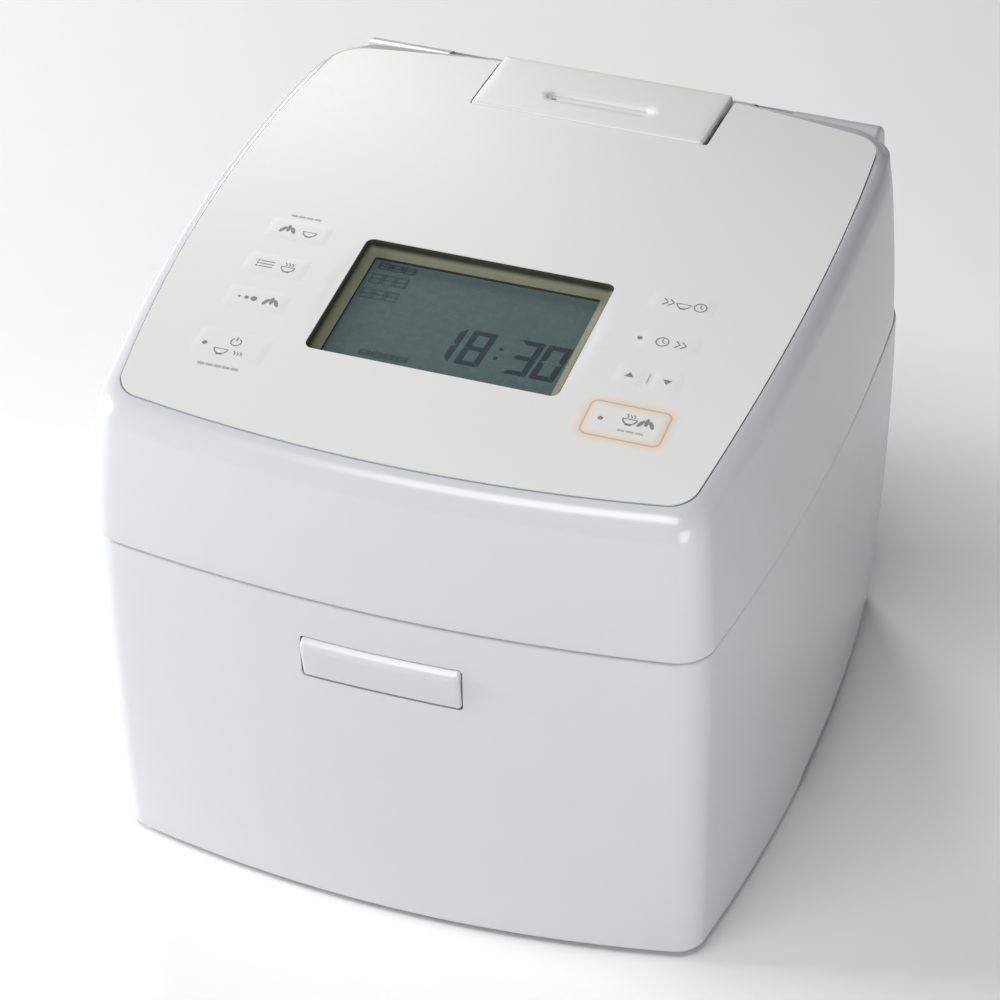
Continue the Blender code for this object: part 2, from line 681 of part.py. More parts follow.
def hinge_arms(steel):
    """Two arms fixed inside the lid, with hubs that turn on the shaft."""
    arms = []
    for side, name in ((-1, "hinge_arm_left"), (1, "hinge_arm_right")):
        x_a, x_b = sorted((side * ARM[0], side * ARM[1]))
        arm = box(name, (x_a, 0.0960, HINGE_Z - ARM_HALF), (x_b, HINGE_Y, HINGE_Z + ARM_HALF), steel)
        middle = (x_a + x_b) / 2
        unite(arm, rod("hub", (middle, HINGE_Y, HINGE_Z), 0.0060, ARM[1] - ARM[0], axis="X"))
        unite(arm, box("arm_leg", (x_a, 0.0960, COVER_TOP + GAP), (x_b, 0.1030, HINGE_Z + 0.001)))
        cut(arm, rod("hub_bore", (middle, HINGE_Y, HINGE_Z), SHAFT_RADIUS + GAP, 0.03, axis="X"))
        arms.append(arm)
    return arms


# ---------------------------------------------------------------- latch
def button_block(name, clearance, mat=None):
    """Block whose top is an arc about the latch pin, so that the gap above it stays even as it is pressed."""
    half, low, high = BUTTON
    wall_y = SEAM.y_front - SEAM.front_bow
    radius = math.hypot(wall_y - LATCH_Y, high - LATCH_Z) - SLIP + clearance
    front = wall_y - BUTTON_PROUD - 0.0040
    rear = wall_y + BUTTON_DEEP - BUTTON_PROUD + 4 * clearance
    low = low - clearance
    angles = [math.acos((y - LATCH_Y) / radius) for y in (rear, front)]
    arc = []
    for k in range(9):
        angle = angles[0] + (angles[1] - angles[0]) * k / 8
        arc.append((LATCH_Y + radius * math.cos(angle), LATCH_Z + radius * math.sin(angle)))
    block = flat_plate(name, [[(front, low), (rear, low)] + arc], -half - clearance, half + clearance, mat)
    block.matrix_world = Matrix(((0, 0, 1, 0), (1, 0, 0, 0), (0, 1, 0, 0), (0, 0, 0, 1)))
    return block


def latch(white, steel, spring_steel):
    half, low, high = BUTTON
    wall_y = SEAM.y_front - SEAM.front_bow
    button = button_block("latch_button", 0.0, white)
    wedge = []
    for z, proud in ((low - 0.001, BUTTON_FLUSH), (low + 0.001, BUTTON_FLUSH), (high - 0.002, BUTTON_PROUD),
                     (high + 0.010, BUTTON_PROUD)):
        wedge.append(level_ring(shrink(body_outline(z), -proud), z))
    boolean(button, loft("button_wedge", wedge, close_low=True, close_top=True), "INTERSECT")
    bevel(button, 0.0009)
    y, z = LATCH_Y, LATCH_Z
    unite(button, box("latch_web", (-0.010, wall_y + 0.002, low + 0.003), (0.010, y, low + 0.010)))
    unite(button, rod("latch_hub", (0, y, z), 0.0036, 0.020, axis="X"))
    unite(button, box("latch_arm", (-0.008, y - 0.0020, z), (0.008, y + 0.0020, HOOK_Z + 0.0030)))
    unite(button, box("latch_nose", (-0.008, HOOK_Y, HOOK_Z), (0.008, y, HOOK_Z + 0.0030)))
    cut(button, rod("latch_bore", (0, y, z), LATCH_PIN_RADIUS + GAP, 0.05, axis="X"))
    rod("latch_pin", (0, y, z), LATCH_PIN_RADIUS, 0.064, steel, axis="X", segments=16)
    turns, steps, radius = 3, 8, 0.0030
    path = []
    for k in range(turns * steps + 1):
        angle = 2 * math.pi * k / steps
        path.append((0.0125 + 0.010 * k / (turns * steps), radius * math.cos(angle), radius * math.sin(angle)))
    wire("latch_spring", path, 0.0006, spring_steel, (0, y, z))
    return button


HOOK_Y = -0.1308
HOOK_Z = SEAM_Z + 0.0040


def latch_bracket(steel):
    y, z = LATCH_Y, LATCH_Z
    top = DECK_TOP - DECK_THICK - GAP
    slot_half, y_low, y_high = LATCH_SLOT
    bracket = box("latch_bracket", (-0.032, -0.1340, top - 0.0015), (0.032, -0.1180, top), steel)
    cut(bracket, box("bracket_slot", (-slot_half, -0.1350, top - 0.016), (slot_half, y_high, top + 0.014)))
    for side in (-1, 1):
        x_a, x_b = sorted((side * 0.0275, side * 0.0295))
        unite(bracket, box("ear", (x_a, y - 0.0045, z - 0.0045), (x_b, y + 0.0045, top - 0.0005)))
    cut(bracket, rod("pin_bore", (0, y, z), LATCH_PIN_RADIUS + GAP, 0.08, axis="X", segments=16))


# ---------------------------------------------------------------- lid
LID_STEPS = [
    # share of the way from seam to panel outline, height or depth below the panel at the front,
    # rear edge, rear bow, depth below the panel at the rear
    (0.25, 0.0095, LID_REAR, 0.0, 0.0245),
    (0.34, 0.0058, LID_REAR, 0.0, 0.0130),
    (0.46, 0.0034, LID_REAR + 0.0016, 0.0, 0.0080),
    (0.60, 0.0018, LID_REAR + 0.0050, 0.0006, 0.0043),
    (0.74, 0.0010, LID_REAR + 0.0024, 0.0065, 0.0032),
    (0.88, 0.0005, LID_REAR + 0.0022, 0.0068, 0.0016),
]
LEDGE = 0.004
LEDGE_REAR = 0.0075
LEDGE_THICK = 0.0018


def lid_outline(share, rear, rear_bow):
    o = blend(SEAM, PANEL, share)
    return o._replace(y_back=rear, back_bow=rear_bow, r_back=0.016)


def lid_ring(outline, front_depth, rear_depth):
    """A ring below the panel surface, deeper at the rear, where the lid clears the hinge barrel."""
    ring = []
    for p in plan(outline):
        share = min(max((p.y - 0.098) / 0.020, 0.0), 1.0)
        depth = front_depth + (rear_depth - front_depth) * share * share * (3 - 2 * share)
        ring.append((p.x, p.y, panel_z(p.y) - depth))
    return ring


def lid_shell(mat):
    proud = -LID_PROUD / (PANEL.y_front - SEAM.y_front + SEAM.front_bow - PANEL.front_bow)
    low = lid_outline(proud, LID_REAR, 0.0)
    rings = [
        level_ring(shrink(low, 0.0008), LID_Z),
        level_ring(low, LID_Z + 0.0010),
        level_ring(lid_outline(0.03, LID_REAR, 0.0), LID_Z + 0.025),
    ]
    for share, front, rear, bow, rear_depth in LID_STEPS:
        rings.append(lid_ring(lid_outline(share, rear, bow), front, rear_depth))
    rim = shrink(PANEL, -GAP)
    ledge = shrink(PANEL, LEDGE)._replace(y_back=PANEL.y_back - LEDGE_REAR)
    step = PANEL_THICK + GAP
    rings.append(lid_ring(rim, 0.0003, 0.0003))
    rings.append(lid_ring(rim, step, step))
    rings.append(lid_ring(ledge, step, step))
    rings.append(lid_ring(ledge, step + LEDGE_THICK, step + LEDGE_THICK))
    rings.append(lid_ring(shrink(lid_outline(0.34, LID_REAR, 0.0), LID_WALL), 0.0100, 0.0140))
    rings.append(level_ring(shrink(lid_outline(0.03, LID_REAR, 0.0), LID_WALL), LID_Z + 0.025))
    rings.append(level_ring(shrink(low, LID_WALL), LID_Z))
    lid = loft("lid_shell", rings, mat, wrap=True)
    cut(lid, steam_notch(PANEL_HEIGHT + 0.0053, GAP))
    for side in (-1, 1):
        x_a, x_b = sorted((side * (ARM[0] - GAP), side * (ARM[1] + GAP)))
        low, high = HINGE_Z - ARM_HALF - GAP, HINGE_Z + ARM_HALF + GAP
        cut(lid, box("arm_slot", (x_a, 0.108, low), (x_b, 0.130, high)))
    return lid


def steam_notch(z_low, gap):
    """Space for the steam cap at the rear of the lid, with the finger groove at its right end."""
    low = (-CAP_HALF_WIDTH - gap, CAP_FRONT - gap, z_low)
    return box("steam_notch", low, (CAP_HALF_WIDTH + CAP_GROOVE, 0.150, CUT_HIGH))


def key_outline(x, y, half_x, half_y, grow=0.0):
    return rounded_rectangle(x, y, half_x + grow, half_y + grow, KEY_CORNER + grow)


def lid_panel(mat):
    panel = panel_sheet("lid_panel", PANEL_THICK, mat=mat)
    cut(panel, steam_notch(CUT_LOW, GAP))
    x_a, x_b, y_a, y_b = WINDOW
    hole = rounded_rectangle((x_a + x_b) / 2, (y_a + y_b) / 2, (x_b - x_a) / 2 + GAP, (y_b - y_a) / 2 + GAP, 0.0033)
    holes = [hole] + [key_outline(*place, GAP) for name, *place in KEYS]
    cut(panel, flat_plate("panel_holes", holes, CUT_LOW, CUT_HIGH))
    return panel


def keys(mat):
    """Each key is a plug of the panel surface, long enough to reach its switch."""
    blank = guide(panel_sheet("key_blank", KEY_DEPTH, grow=0.001))
    made = []
    for name, *place in KEYS:
        key = flat_plate(name, [key_outline(*place)], CUT_LOW, CUT_HIGH, mat)
        boolean(key, blank, "INTERSECT")
        made.append(key)
    return made


def display(clear, khaki, glass, green):
    blank = guide(panel_sheet("window_blank", PANEL_THICK, grow=0.001))
    x_a, x_b, y_a, y_b = WINDOW
    x, half_x, half_y = (x_a + x_b) / 2, (x_b - x_a) / 2, (y_b - y_a) / 2
    y = (y_a + y_b) / 2
    window = flat_plate("display_window", [rounded_rectangle(x, y, half_x, half_y, 0.003)], CUT_LOW, CUT_HIGH, clear)
    boolean(window, blank, "INTERSECT")
    tilt, surface = panel_tilt(y), panel_z(y)
    rise = (Matrix.Translation((x, y, surface)) @ Matrix.Rotation(tilt, 4, "X"))
    frame = flat_plate("display_frame", [
        rounded_rectangle(0, 0, half_x + FRAME_LAP, half_y + FRAME_LAP, 0.004),
        rounded_rectangle(0, 0, half_x - FRAME_INSET, half_y - FRAME_INSET, 0.002),
    ], -FRAME_SPAN[1], -FRAME_SPAN[0], khaki)
    module = box("lcd_module", (-half_x, -half_y, -LCD_SPAN[1]), (half_x, half_y, -LCD_SPAN[0]), glass)
    board_low = -BOARD_DEPTH - BOARD_THICK
    board = box("control_board", (-0.102, -half_y - 0.012, board_low), (0.102, half_y + 0.012, -BOARD_DEPTH), green)
    board_matrix = rise @ board.matrix_basis
    board.matrix_world = board_matrix
    frame.matrix_world = rise @ frame.matrix_basis
    module.matrix_world = rise @ module.matrix_basis
    return [window, frame, module, board]


COVER_LOW = POT_TOP + GAP + 0.0098
COVER_TOP = COVER_LOW + 0.0025


def lid_underside(grey, steel, rubber, foil):
    """The cover that closes the lid, and the heated plate and seal that meet the pot."""
    centre = (0, POT_Y, 0)
    seal_low = POT_TOP + GAP
    vent = (0, STEAM_VENT_Y, COVER_TOP)
    outline = lid_outline(0.03, LID_REAR, 0.0)
    edge = [tuple(p) for p in plan(shrink(outline, LID_WALL + 0.0008))]
    cover = flat_plate("lid_inner_cover", [edge], COVER_LOW, COVER_TOP, grey)
    cut(cover, rod("cover_vent", vent, STEAM_VENT_RADIUS, 0.03, axis="Z"))
    seal = turned("inner_lid_gasket", ring_profile(POT_RADIUS - 0.0055, POT_RADIUS + 0.0045, seal_low, seal_low + 0.0058),
                  centre, rubber, steps=40, ring=True)
    plate_low = seal_low + 0.0058 + GAP
    plate = rod("inner_lid", (0, POT_Y, plate_low + 0.00075), POT_RADIUS + 0.0045, 0.0015, steel, segments=40)
    cut(plate, rod("inner_vent", vent, STEAM_VENT_RADIUS, 0.03))
    heater_low = plate_low + 0.0015 + GAP
    heater = rod("lid_heater", (0, POT_Y, heater_low + 0.0006), POT_RADIUS - 0.003, 0.0012, foil, segments=40)
    cut(heater, rod("heater_vent", vent, STEAM_VENT_RADIUS + 0.001, 0.03))
    return [cover, seal, plate, heater]


def lid_catch(steel):
    """Tongue under the front of the lid, whose lip the latch hook reaches over."""
    y = HOOK_Y - GAP
    low = SEAM_Z + 0.0012
    catch = box("lid_catch", (-0.0085, y - 0.0030, low), (0.0085, y - 0.0010, COVER_LOW - GAP), steel)
    unite(catch, box("catch_lip", (-0.0085, y - 0.0015, low), (0.0085, y, low + 0.0020)))
    return catch


def steam_well(grey):
    """Pocket for the steam cartridge, with a duct that leads forward and down to the pot."""
    half, y_low, y_high = WELL
    wall = 0.0015
    top = PANEL_HEIGHT + 0.0030
    floor = COVER_TOP + GAP
    well = box("steam_well", (-half, y_low, floor), (half, y_high, top), grey)
    duct_half = 0.012
    unite(well, box("duct", (-duct_half, STEAM_VENT_Y - 0.009, floor), (duct_half, y_low + 0.001, floor + 0.014)))
    cut(well, box("well_hollow", (-half + wall, y_low + wall, floor + wall), (half - wall, y_high - wall, 0.240)))
    inner = duct_half - wall
    cut(well, box("duct_hollow", (-inner, STEAM_VENT_Y - 0.009 + wall, floor + wall), (inner, 0.100, floor + 0.014 - wall)))
    cut(well, rod("duct_vent", (0, STEAM_VENT_Y, floor), STEAM_VENT_RADIUS, 0.008))
    return well


def steam_cap(white, grey, rubber):
    """Lift-out cap: its top continues the lid, and its hollow base hangs in the well."""
    lift = 0.0006
    blank = guide(panel_sheet("cap_blank", CAP_THICK, grow=0.012, lift=lift))
    half, y_low, y_high = WELL
    top = box("steam_cap_top", (-CAP_HALF_WIDTH, CAP_FRONT, CUT_LOW), (CAP_HALF_WIDTH, CAP_REAR, CUT_HIGH), white)
    boolean(top, blank, "INTERSECT")
    slot_half, slot_width, slot_y = CAP_SLOT
    slot = rounded_rectangle(0, slot_y, slot_half, slot_width, slot_width - 0.0001)
    cut(top, flat_plate("steam_recess", [slot], panel_z(slot_y) + lift - CAP_SLOT_DEPTH, CUT_HIGH))
    vent = (slot_width - slot_half, slot_y, panel_z(slot_y))
    cut(top, rod("cap_vent", vent, CAP_VENT_RADIUS, 0.020, segments=16))
    roof = PANEL_HEIGHT + 0.0063
    clear, wall = 0.0020, 0.0015
    low = roof - 0.030
    base = box("steam_cap_base", (-half + clear, y_low + clear, low), (half - clear, y_high - clear, roof), grey)
    inner = (half - clear - wall, y_low + clear + wall, y_high - clear - wall)
    cut(base, box("base_hollow", (-inner[0], inner[1], low - 0.001), (inner[0], inner[2], roof - wall)))
    cut(base, rod("base_vent", vent, CAP_VENT_RADIUS, 0.030, segments=16))
    seal_low, seal_high = PANEL_HEIGHT + 0.0030 + GAP, roof - 0.0003
    outer = rounded_rectangle(0, (y_low + y_high) / 2, half, (y_high - y_low) / 2, 0.002)
    hole = rounded_rectangle(0, (y_low + y_high) / 2, half - clear + GAP, (y_high - y_low) / 2 - clear + GAP, 0.001)
    seal = flat_plate("steam_seal", [outer, hole], seal_low, seal_high, rubber)
    return [top, base, seal]


# ---------------------------------------------------------------- assembly
def build():
    white = material("white_gloss", WHITE, 0.18)
    satin = material("panel_satin", PANEL_WHITE, 0.35)
    grey = material("grey_plastic", (0.45, 0.45, 0.46), 0.5)
    black = material("black_plastic", DARK, 0.5)
    rubber = material("grey_rubber", (0.30, 0.30, 0.31), 0.8)
    steel = material("steel", STEEL, 0.3, 1.0)
    pot_grey = material("pot_coating", (0.12, 0.12, 0.13), 0.35, 0.4)
    copper = material("litz_copper", (0.60, 0.28, 0.14), 0.45, 0.8)
    green = material("circuit_board", (0.05, 0.22, 0.10), 0.5)
    aluminium = material("aluminium", (0.78, 0.78, 0.80), 0.35, 1.0)
    clear = material("clear_window", (0.85, 0.88, 0.88), 0.08, alpha=0.35)
    khaki = material("display_frame", (0.36, 0.33, 0.22), 0.5)
    glass = material("lcd_glass", (0.17, 0.23, 0.24), 0.15)

    body_shell(white)
    base_plate(grey)
    feet(rubber)
    base_screws(steel)
    top_frame(white)
    pot_well(grey)
    inner_pot(pot_grey)
    heating_coils(copper, black, black)
    temperature_sensor(black, steel, steel)
    electronics(steel, green, aluminium)
    fan(black, grey)
    cord_outlet(grey)
    hinge(white, steel, steel)
    latch_bracket(steel)
    latch(white, steel, steel)

    axis = (0, HINGE_Y, HINGE_Z)
    pivot = bpy.data.objects.new("lid_pivot", None)
    pivot.location = axis
    PARTS.objects.link(pivot)
    lid_pieces = [lid_shell(white), lid_panel(satin), lid_catch(steel), steam_well(grey)]
    lid_pieces += hinge_arms(steel) + keys(satin) + display(clear, khaki, glass, green)
    lid_pieces += lid_underside(grey, steel, rubber, aluminium) + steam_cap(satin, grey, rubber)
    for piece in lid_pieces:
        ride_on(piece, pivot, axis)


clear_scene()
PARTS = collection("rice_cooker")
CUTTERS = collection("cutters")
build()
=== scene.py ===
"""Looks of a countertop rice cooker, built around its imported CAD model.

The CAD model fixes every size, place and joint. This script adds the smooth outer surfaces, the printed
marks, the display and the materials. Metres, +Z up, -Y is the front.
"""
import json
import math
from collections import namedtuple

import bmesh
import bpy
import numpy as np
from mathutils import Matrix, Vector
from mathutils.geometry import delaunay_2d_cdt


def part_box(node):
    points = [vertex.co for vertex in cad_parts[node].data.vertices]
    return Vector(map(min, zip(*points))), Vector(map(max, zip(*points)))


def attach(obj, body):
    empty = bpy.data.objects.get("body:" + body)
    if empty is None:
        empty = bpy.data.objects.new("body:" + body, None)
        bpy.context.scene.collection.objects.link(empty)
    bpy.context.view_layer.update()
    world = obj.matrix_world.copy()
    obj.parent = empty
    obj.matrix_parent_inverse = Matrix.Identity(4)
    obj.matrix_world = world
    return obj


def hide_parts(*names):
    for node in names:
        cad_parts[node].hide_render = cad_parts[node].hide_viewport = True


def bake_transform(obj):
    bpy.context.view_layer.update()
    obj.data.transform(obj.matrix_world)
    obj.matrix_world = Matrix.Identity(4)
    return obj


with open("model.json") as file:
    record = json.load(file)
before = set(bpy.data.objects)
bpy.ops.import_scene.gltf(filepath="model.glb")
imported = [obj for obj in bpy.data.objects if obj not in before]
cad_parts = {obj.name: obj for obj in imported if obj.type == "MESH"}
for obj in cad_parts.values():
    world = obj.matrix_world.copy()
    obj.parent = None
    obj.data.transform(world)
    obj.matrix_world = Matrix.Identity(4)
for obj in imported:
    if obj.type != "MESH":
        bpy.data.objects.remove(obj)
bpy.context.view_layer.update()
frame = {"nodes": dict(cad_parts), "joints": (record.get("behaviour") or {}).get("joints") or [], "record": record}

# ---------------------------------------------------------------- sizes, the same as in the CAD model
WALL = 0.0025
GAP = 0.0003
SLIP = 0.0006
BASE_Z = 0.003
BODY_HEIGHT = 0.1475
SEAM_Z = BASE_Z + BODY_HEIGHT
LID_Z = SEAM_Z + 0.0007

PANEL_HEIGHT = 0.2205
PANEL_SLOPE = 0.075
PANEL_CROWN = 0.00685
PANEL_CROWN_Y = -0.00125
PANEL_CROWN_REACH = 0.125
PANEL_THICK = 0.002
LID_WALL = 0.0022

POT_RADIUS = 0.0945
POT_WALL = 0.002
POT_CORNER = 0.028
POT_Y = -0.005

Outline = namedtuple("Outline", "w_front w_back y_front y_back side_bow front_bow back_bow r_front r_back")
BASE = Outline(0.1202, 0.1178, -0.1245, 0.1290, 0.0102, 0.0146, 0.0098, 0.008, 0.016)
SEAM = Outline(0.1220, 0.1249, -0.1300, 0.1328, 0.0074, 0.0108, 0.0102, 0.0107, 0.022)
PANEL = Outline(0.1122, 0.1154, -0.1180, 0.1165, 0.0076, 0.0094, 0.0126, 0.008, 0.010)
SIDE_BELLY = 0.638

JOINTS = {joint["name"]: joint for joint in frame["joints"]}
HINGE_Y, HINGE_Z = JOINTS["lid_hinge"]["pos_m"][1:]
LATCH_Y, LATCH_Z = JOINTS["latch_press"]["pos_m"][1:]
BARREL_RADIUS = 0.0095
HINGE_HALF_WIDTH = 0.111
ARM_INNER, ARM_OUTER = 0.0580, 0.0740            # the hinge arms' reach on either side of the middle
LID_REAR = HINGE_Y - BARREL_RADIUS - SLIP

CAP_HALF_WIDTH = 0.0494
CAP_FRONT = 0.0908
CAP_REAR = 0.1320
CAP_THICK = 0.0035
CAP_LIFT = 0.0006
CAP_GROOVE = 0.0020
CAP_SLOT = (0.0218, 0.0030, 0.1065)
CAP_SLOT_DEPTH = 0.0013

BUTTON_HALF, BUTTON_LOW, BUTTON_HIGH = 0.0320, 0.1140, 0.1323
BUTTON_PROUD = 0.0030
BUTTON_FLUSH = 0.0004
BUTTON_DEEP = 0.0060
WALL_Y = SEAM.y_front - SEAM.front_bow

KEY_NAMES = ["key_rice", "key_mode", "key_texture", "key_off", "key_quick", "key_timer", "key_hour",
             "key_minute", "key_start"]
KEY_CORNER = 0.003


# ---------------------------------------------------------------- outlines and profiles
def blend(a, b, share):
    return Outline(*(p + (q - p) * share for p, q in zip(a, b)))


def shrink(o, inset):
    return o._replace(
        w_front=o.w_front - inset, w_back=o.w_back - inset,
        y_front=o.y_front + inset, y_back=o.y_back - inset,
    )


def round_corner(a, corner, b, t):
    """A near-circular arc from a to b inside the corner."""
    pull = 0.5523
    first, second = a.lerp(corner, pull), b.lerp(corner, pull)
    s = 1 - t
    return a * s ** 3 + first * (3 * s * s * t) + second * (3 * s * t * t) + b * t ** 3


def plan(o, side_points=44, corner_points=11):
    """Points of an outline, anticlockwise from the front left corner."""
    corners = [Vector((-o.w_front, o.y_front)), Vector((o.w_front, o.y_front)),
               Vector((o.w_back, o.y_back)), Vector((-o.w_back, o.y_back))]
    bows = [o.front_bow, o.side_bow, o.back_bow, o.side_bow]
    radii = [o.r_front, o.r_front, o.r_back, o.r_back]
    sides = []
    for i, (bow, start) in enumerate(zip(bows, corners)):
        run = corners[(i + 1) % 4] - start
        out = Vector((run.y, -run.x)).normalized()
        first, last = radii[i] / run.length, 1 - radii[(i + 1) % 4] / run.length
        shares = [first + (last - first) * k / (side_points - 1) for k in range(side_points)]
        sides.append([start + run * s + out * (bow * 4 * s * (1 - s)) for s in shares])
    points = []
    for i, side in enumerate(sides):
        points += side
        a, c, b = side[-1], corners[(i + 1) % 4], sides[(i + 1) % 4][0]
        for k in range(1, corner_points + 1):
            points.append(round_corner(a, c, b, k / (corner_points + 1)))
    return points


def rounded_rectangle(x, y, half_x, half_y, radius, steps=7):
    points = []
    for quarter, (sx, sy) in enumerate(((1, 1), (-1, 1), (-1, -1), (1, -1))):
        for k in range(steps + 1):
            angle = (quarter + k / steps) * math.pi / 2
            points.append((x + sx * (half_x - radius) + radius * math.cos(angle),
                           y + sy * (half_y - radius) + radius * math.sin(angle)))
    return points


def circle(x, y, radius, steps=48):
    turns = [2 * math.pi * k / steps for k in range(steps)]
    return [(x + radius * math.cos(a), y + radius * math.sin(a)) for a in turns]


def fillet(points, radius, closed=True, steps=4):
    """Round the corners of a polyline; a corner's reach is limited by its shorter side."""
    made = []
    count = len(points)
    for i, point in enumerate(points):
        here = Vector(point)
        if not closed and i in (0, count - 1):
            made.append(tuple(here))
            continue
        to_before = Vector(points[i - 1]) - here
        to_after = Vector(points[(i + 1) % count]) - here
        reach = min(radius, 0.45 * to_before.length, 0.45 * to_after.length)
        start, end = here + to_before.normalized() * reach, here + to_after.normalized() * reach
        made += [tuple(round_corner(start, here, end, k / steps)) for k in range(steps + 1)]
    return made


def level_ring(outline, z):
    return [(p.x, p.y, z) for p in plan(outline)]


def body_outline(z):
    t = (z - BASE_Z) / BODY_HEIGHT
    return blend(BASE, SEAM, t + 2 * SIDE_BELLY * t * (1 - t))


def body_front(x, z):
    """Front face of the case at a width and a height."""
    o = body_outline(z)
    share = (x / o.w_front + 1) / 2
    return o.y_front - o.front_bow * 4 * share * (1 - share)


def panel_z(y):
    crown = 1 - ((y - PANEL_CROWN_Y) / PANEL_CROWN_REACH) ** 2
    return PANEL_HEIGHT + PANEL_SLOPE * y + PANEL_CROWN * crown


def panel_surface(x, y):
    return panel_z(y)


def panel_normal(y):
    slope = PANEL_SLOPE - 2 * PANEL_CROWN * (y - PANEL_CROWN_Y) / PANEL_CROWN_REACH ** 2
    return Vector((0, -slope, 1)).normalized()


def node_centre(node):
    low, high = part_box(node)
    return (low + high) / 2


def node_halves(node):
    """Half the size of a node along X, Y and Z."""
    low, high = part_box(node)
    return [(b - a) / 2 for a, b in zip(low, high)]


def quarter_turn(steps):
    """What a rounded edge of radius 1 leaves across and along at each step: 1 - sine and 1 - cosine."""
    turns = [k / steps * math.pi / 2 for k in range(steps + 1)]
    return [(1 - math.sin(a), 1 - math.cos(a)) for a in turns]


def rounded_ends(half, edge, steps):
    """Places along a piece whose end is rounded, from the end inwards, and the inset at each."""
    return [(half - edge * along, edge * across) for across, along in quarter_turn(steps)]


# ---------------------------------------------------------------- mesh helpers
def placed(name, data):
    """An object that holds the data, in the scene."""
    obj = bpy.data.objects.new(name, data)
    bpy.context.scene.collection.objects.link(obj)
    return obj


def make(name, verts, faces, degrees=32):
    """A smooth-shaded object from points and faces, welded, with its faces pointing out."""
    mesh = bpy.data.meshes.new(name)
    mesh.from_pydata([tuple(v) for v in verts], [], faces)
    bm = bmesh.new()
    bm.from_mesh(mesh)
    bmesh.ops.remove_doubles(bm, verts=bm.verts, dist=0.000002)
    bmesh.ops.recalc_face_normals(bm, faces=bm.faces)
    bm.to_mesh(mesh)
    bm.free()
    return smooth(placed(name, mesh), degrees)


def smooth(obj, degrees=32):
    obj.data.shade_smooth()
    obj.data.set_sharp_from_angle(angle=math.radians(degrees))
    return obj


def skin(rings, wrap=False, cap_first=False, cap_last=False):
    """Faces between rings of equal length whose points follow one another."""
    count = len(rings[0])
    faces = []
    for level in range(len(rings) if wrap else len(rings) - 1):
        low, high = level * count, (level + 1) % len(rings) * count
        for i in range(count):
            j = (i + 1) % count
            faces.append((low + i, low + j, high + j, high + i))
    if cap_first:
        faces.append(tuple(reversed(range(count))))
    if cap_last:
        faces.append(tuple((len(rings) - 1) * count + i for i in range(count)))
    return faces


def band(rings):
    """Points and faces of an open band through rings, for merged()."""
    return [point for ring in rings for point in ring], skin(rings)


def under_surface(height, steps, loop):
    """Rings below a surface: each step is a loop's growth and its depth."""
    return [[(x, y, height(x, y) - depth) for x, y in loop(grow)] for grow, depth in steps]


def loft(name, rings, degrees=32, **caps):
    return make(name, [point for ring in rings for point in ring], skin(rings, **caps), degrees)


def turned(name, profile, centre, steps, ring=False, axis="Z"):
    """Spin (radius, height) points about the centre; a ring's profile is closed, another ends on the axis."""
    x, y, z = centre
    turns = [2 * math.pi * k / steps for k in range(steps)]
    rings = []
    for r, h in profile:
        if axis == "Z":
            rings.append([(x + r * math.cos(a), y + r * math.sin(a), z + h) for a in turns])
        elif axis == "Y":
            rings.append([(x + r * math.cos(a), y + h, z + r * math.sin(a)) for a in turns])
        else:
            rings.append([(x + h, y + r * math.cos(a), z + r * math.sin(a)) for a in turns])
    return loft(name, rings, wrap=ring)


def prism(name, loop, low, high, axis="Z"):
    """A flat outline drawn out along an axis."""
    places = {"X": lambda a, b, t: (t, a, b), "Y": lambda a, b, t: (a, t, b), "Z": lambda a, b, t: (a, b, t)}
    rings = [[places[axis](a, b, t) for a, b in loop] for t in (low, high)]
    return loft(name, rings, cap_first=True, cap_last=True)


def block(name, low, high, edge=0.0004):
    """A box with rounded edges."""
    low, high = Vector(low), Vector(high)
    bm = bmesh.new()
    bmesh.ops.create_cube(bm, size=1.0, matrix=Matrix.Translation((low + high) / 2)
                          @ Matrix.Diagonal((*(high - low), 1.0)))
    bmesh.ops.bevel(bm, geom=bm.edges, offset=edge, segments=3, profile=0.5, affect="EDGES")
    mesh = bpy.data.meshes.new(name)
    bm.to_mesh(mesh)
    bm.free()
    return smooth(placed(name, mesh))


def plate(name, loops, z_low, z_high, edge=0.0005):
    """Filled outlines drawn upwards with rounded edges; an outline inside another is a hole."""
    curve = bpy.data.curves.new(name + "_outline", "CURVE")
    curve.dimensions = "2D"
    curve.fill_mode = "BOTH"
    curve.extrude = (z_high - z_low) / 2 - edge
    curve.bevel_depth = edge
    curve.bevel_resolution = 2
    curve.offset = -edge
    for loop in loops:
        spline = curve.splines.new("POLY")
        spline.points.add(len(loop) - 1)
        for point, (x, y) in zip(spline.points, loop):
            point.co = (x, y, 0, 1)
        spline.use_cyclic_u = True
    temp = placed(name + "_outline", curve)
    temp.location = (0, 0, (z_low + z_high) / 2)
    mesh = evaluated_mesh(temp)
    mesh.transform(temp.matrix_world)
    verts, faces = [v.co.copy() for v in mesh.vertices], [tuple(p.vertices) for p in mesh.polygons]
    bpy.data.objects.remove(temp, do_unlink=True)
    return make(name, verts, faces)


def evaluated_mesh(obj):
    bpy.context.view_layer.update()
    return bpy.data.meshes.new_from_object(obj.evaluated_get(bpy.context.evaluated_depsgraph_get()))


def apply_modifiers(obj):
    mesh = evaluated_mesh(obj)
    obj.modifiers.clear()
    obj.data = mesh
    return smooth(obj)


def combine(obj, tools, operation):
    for tool in tools:
        change = obj.modifiers.new(operation.title(), "BOOLEAN")
        change.operation = operation
        change.solver = "EXACT"
        change.object = tool
    apply_modifiers(obj)
    for tool in tools:
        bpy.data.objects.remove(tool, do_unlink=True)
    return obj


def cut(obj, *tools):
    return combine(obj, tools, "DIFFERENCE")


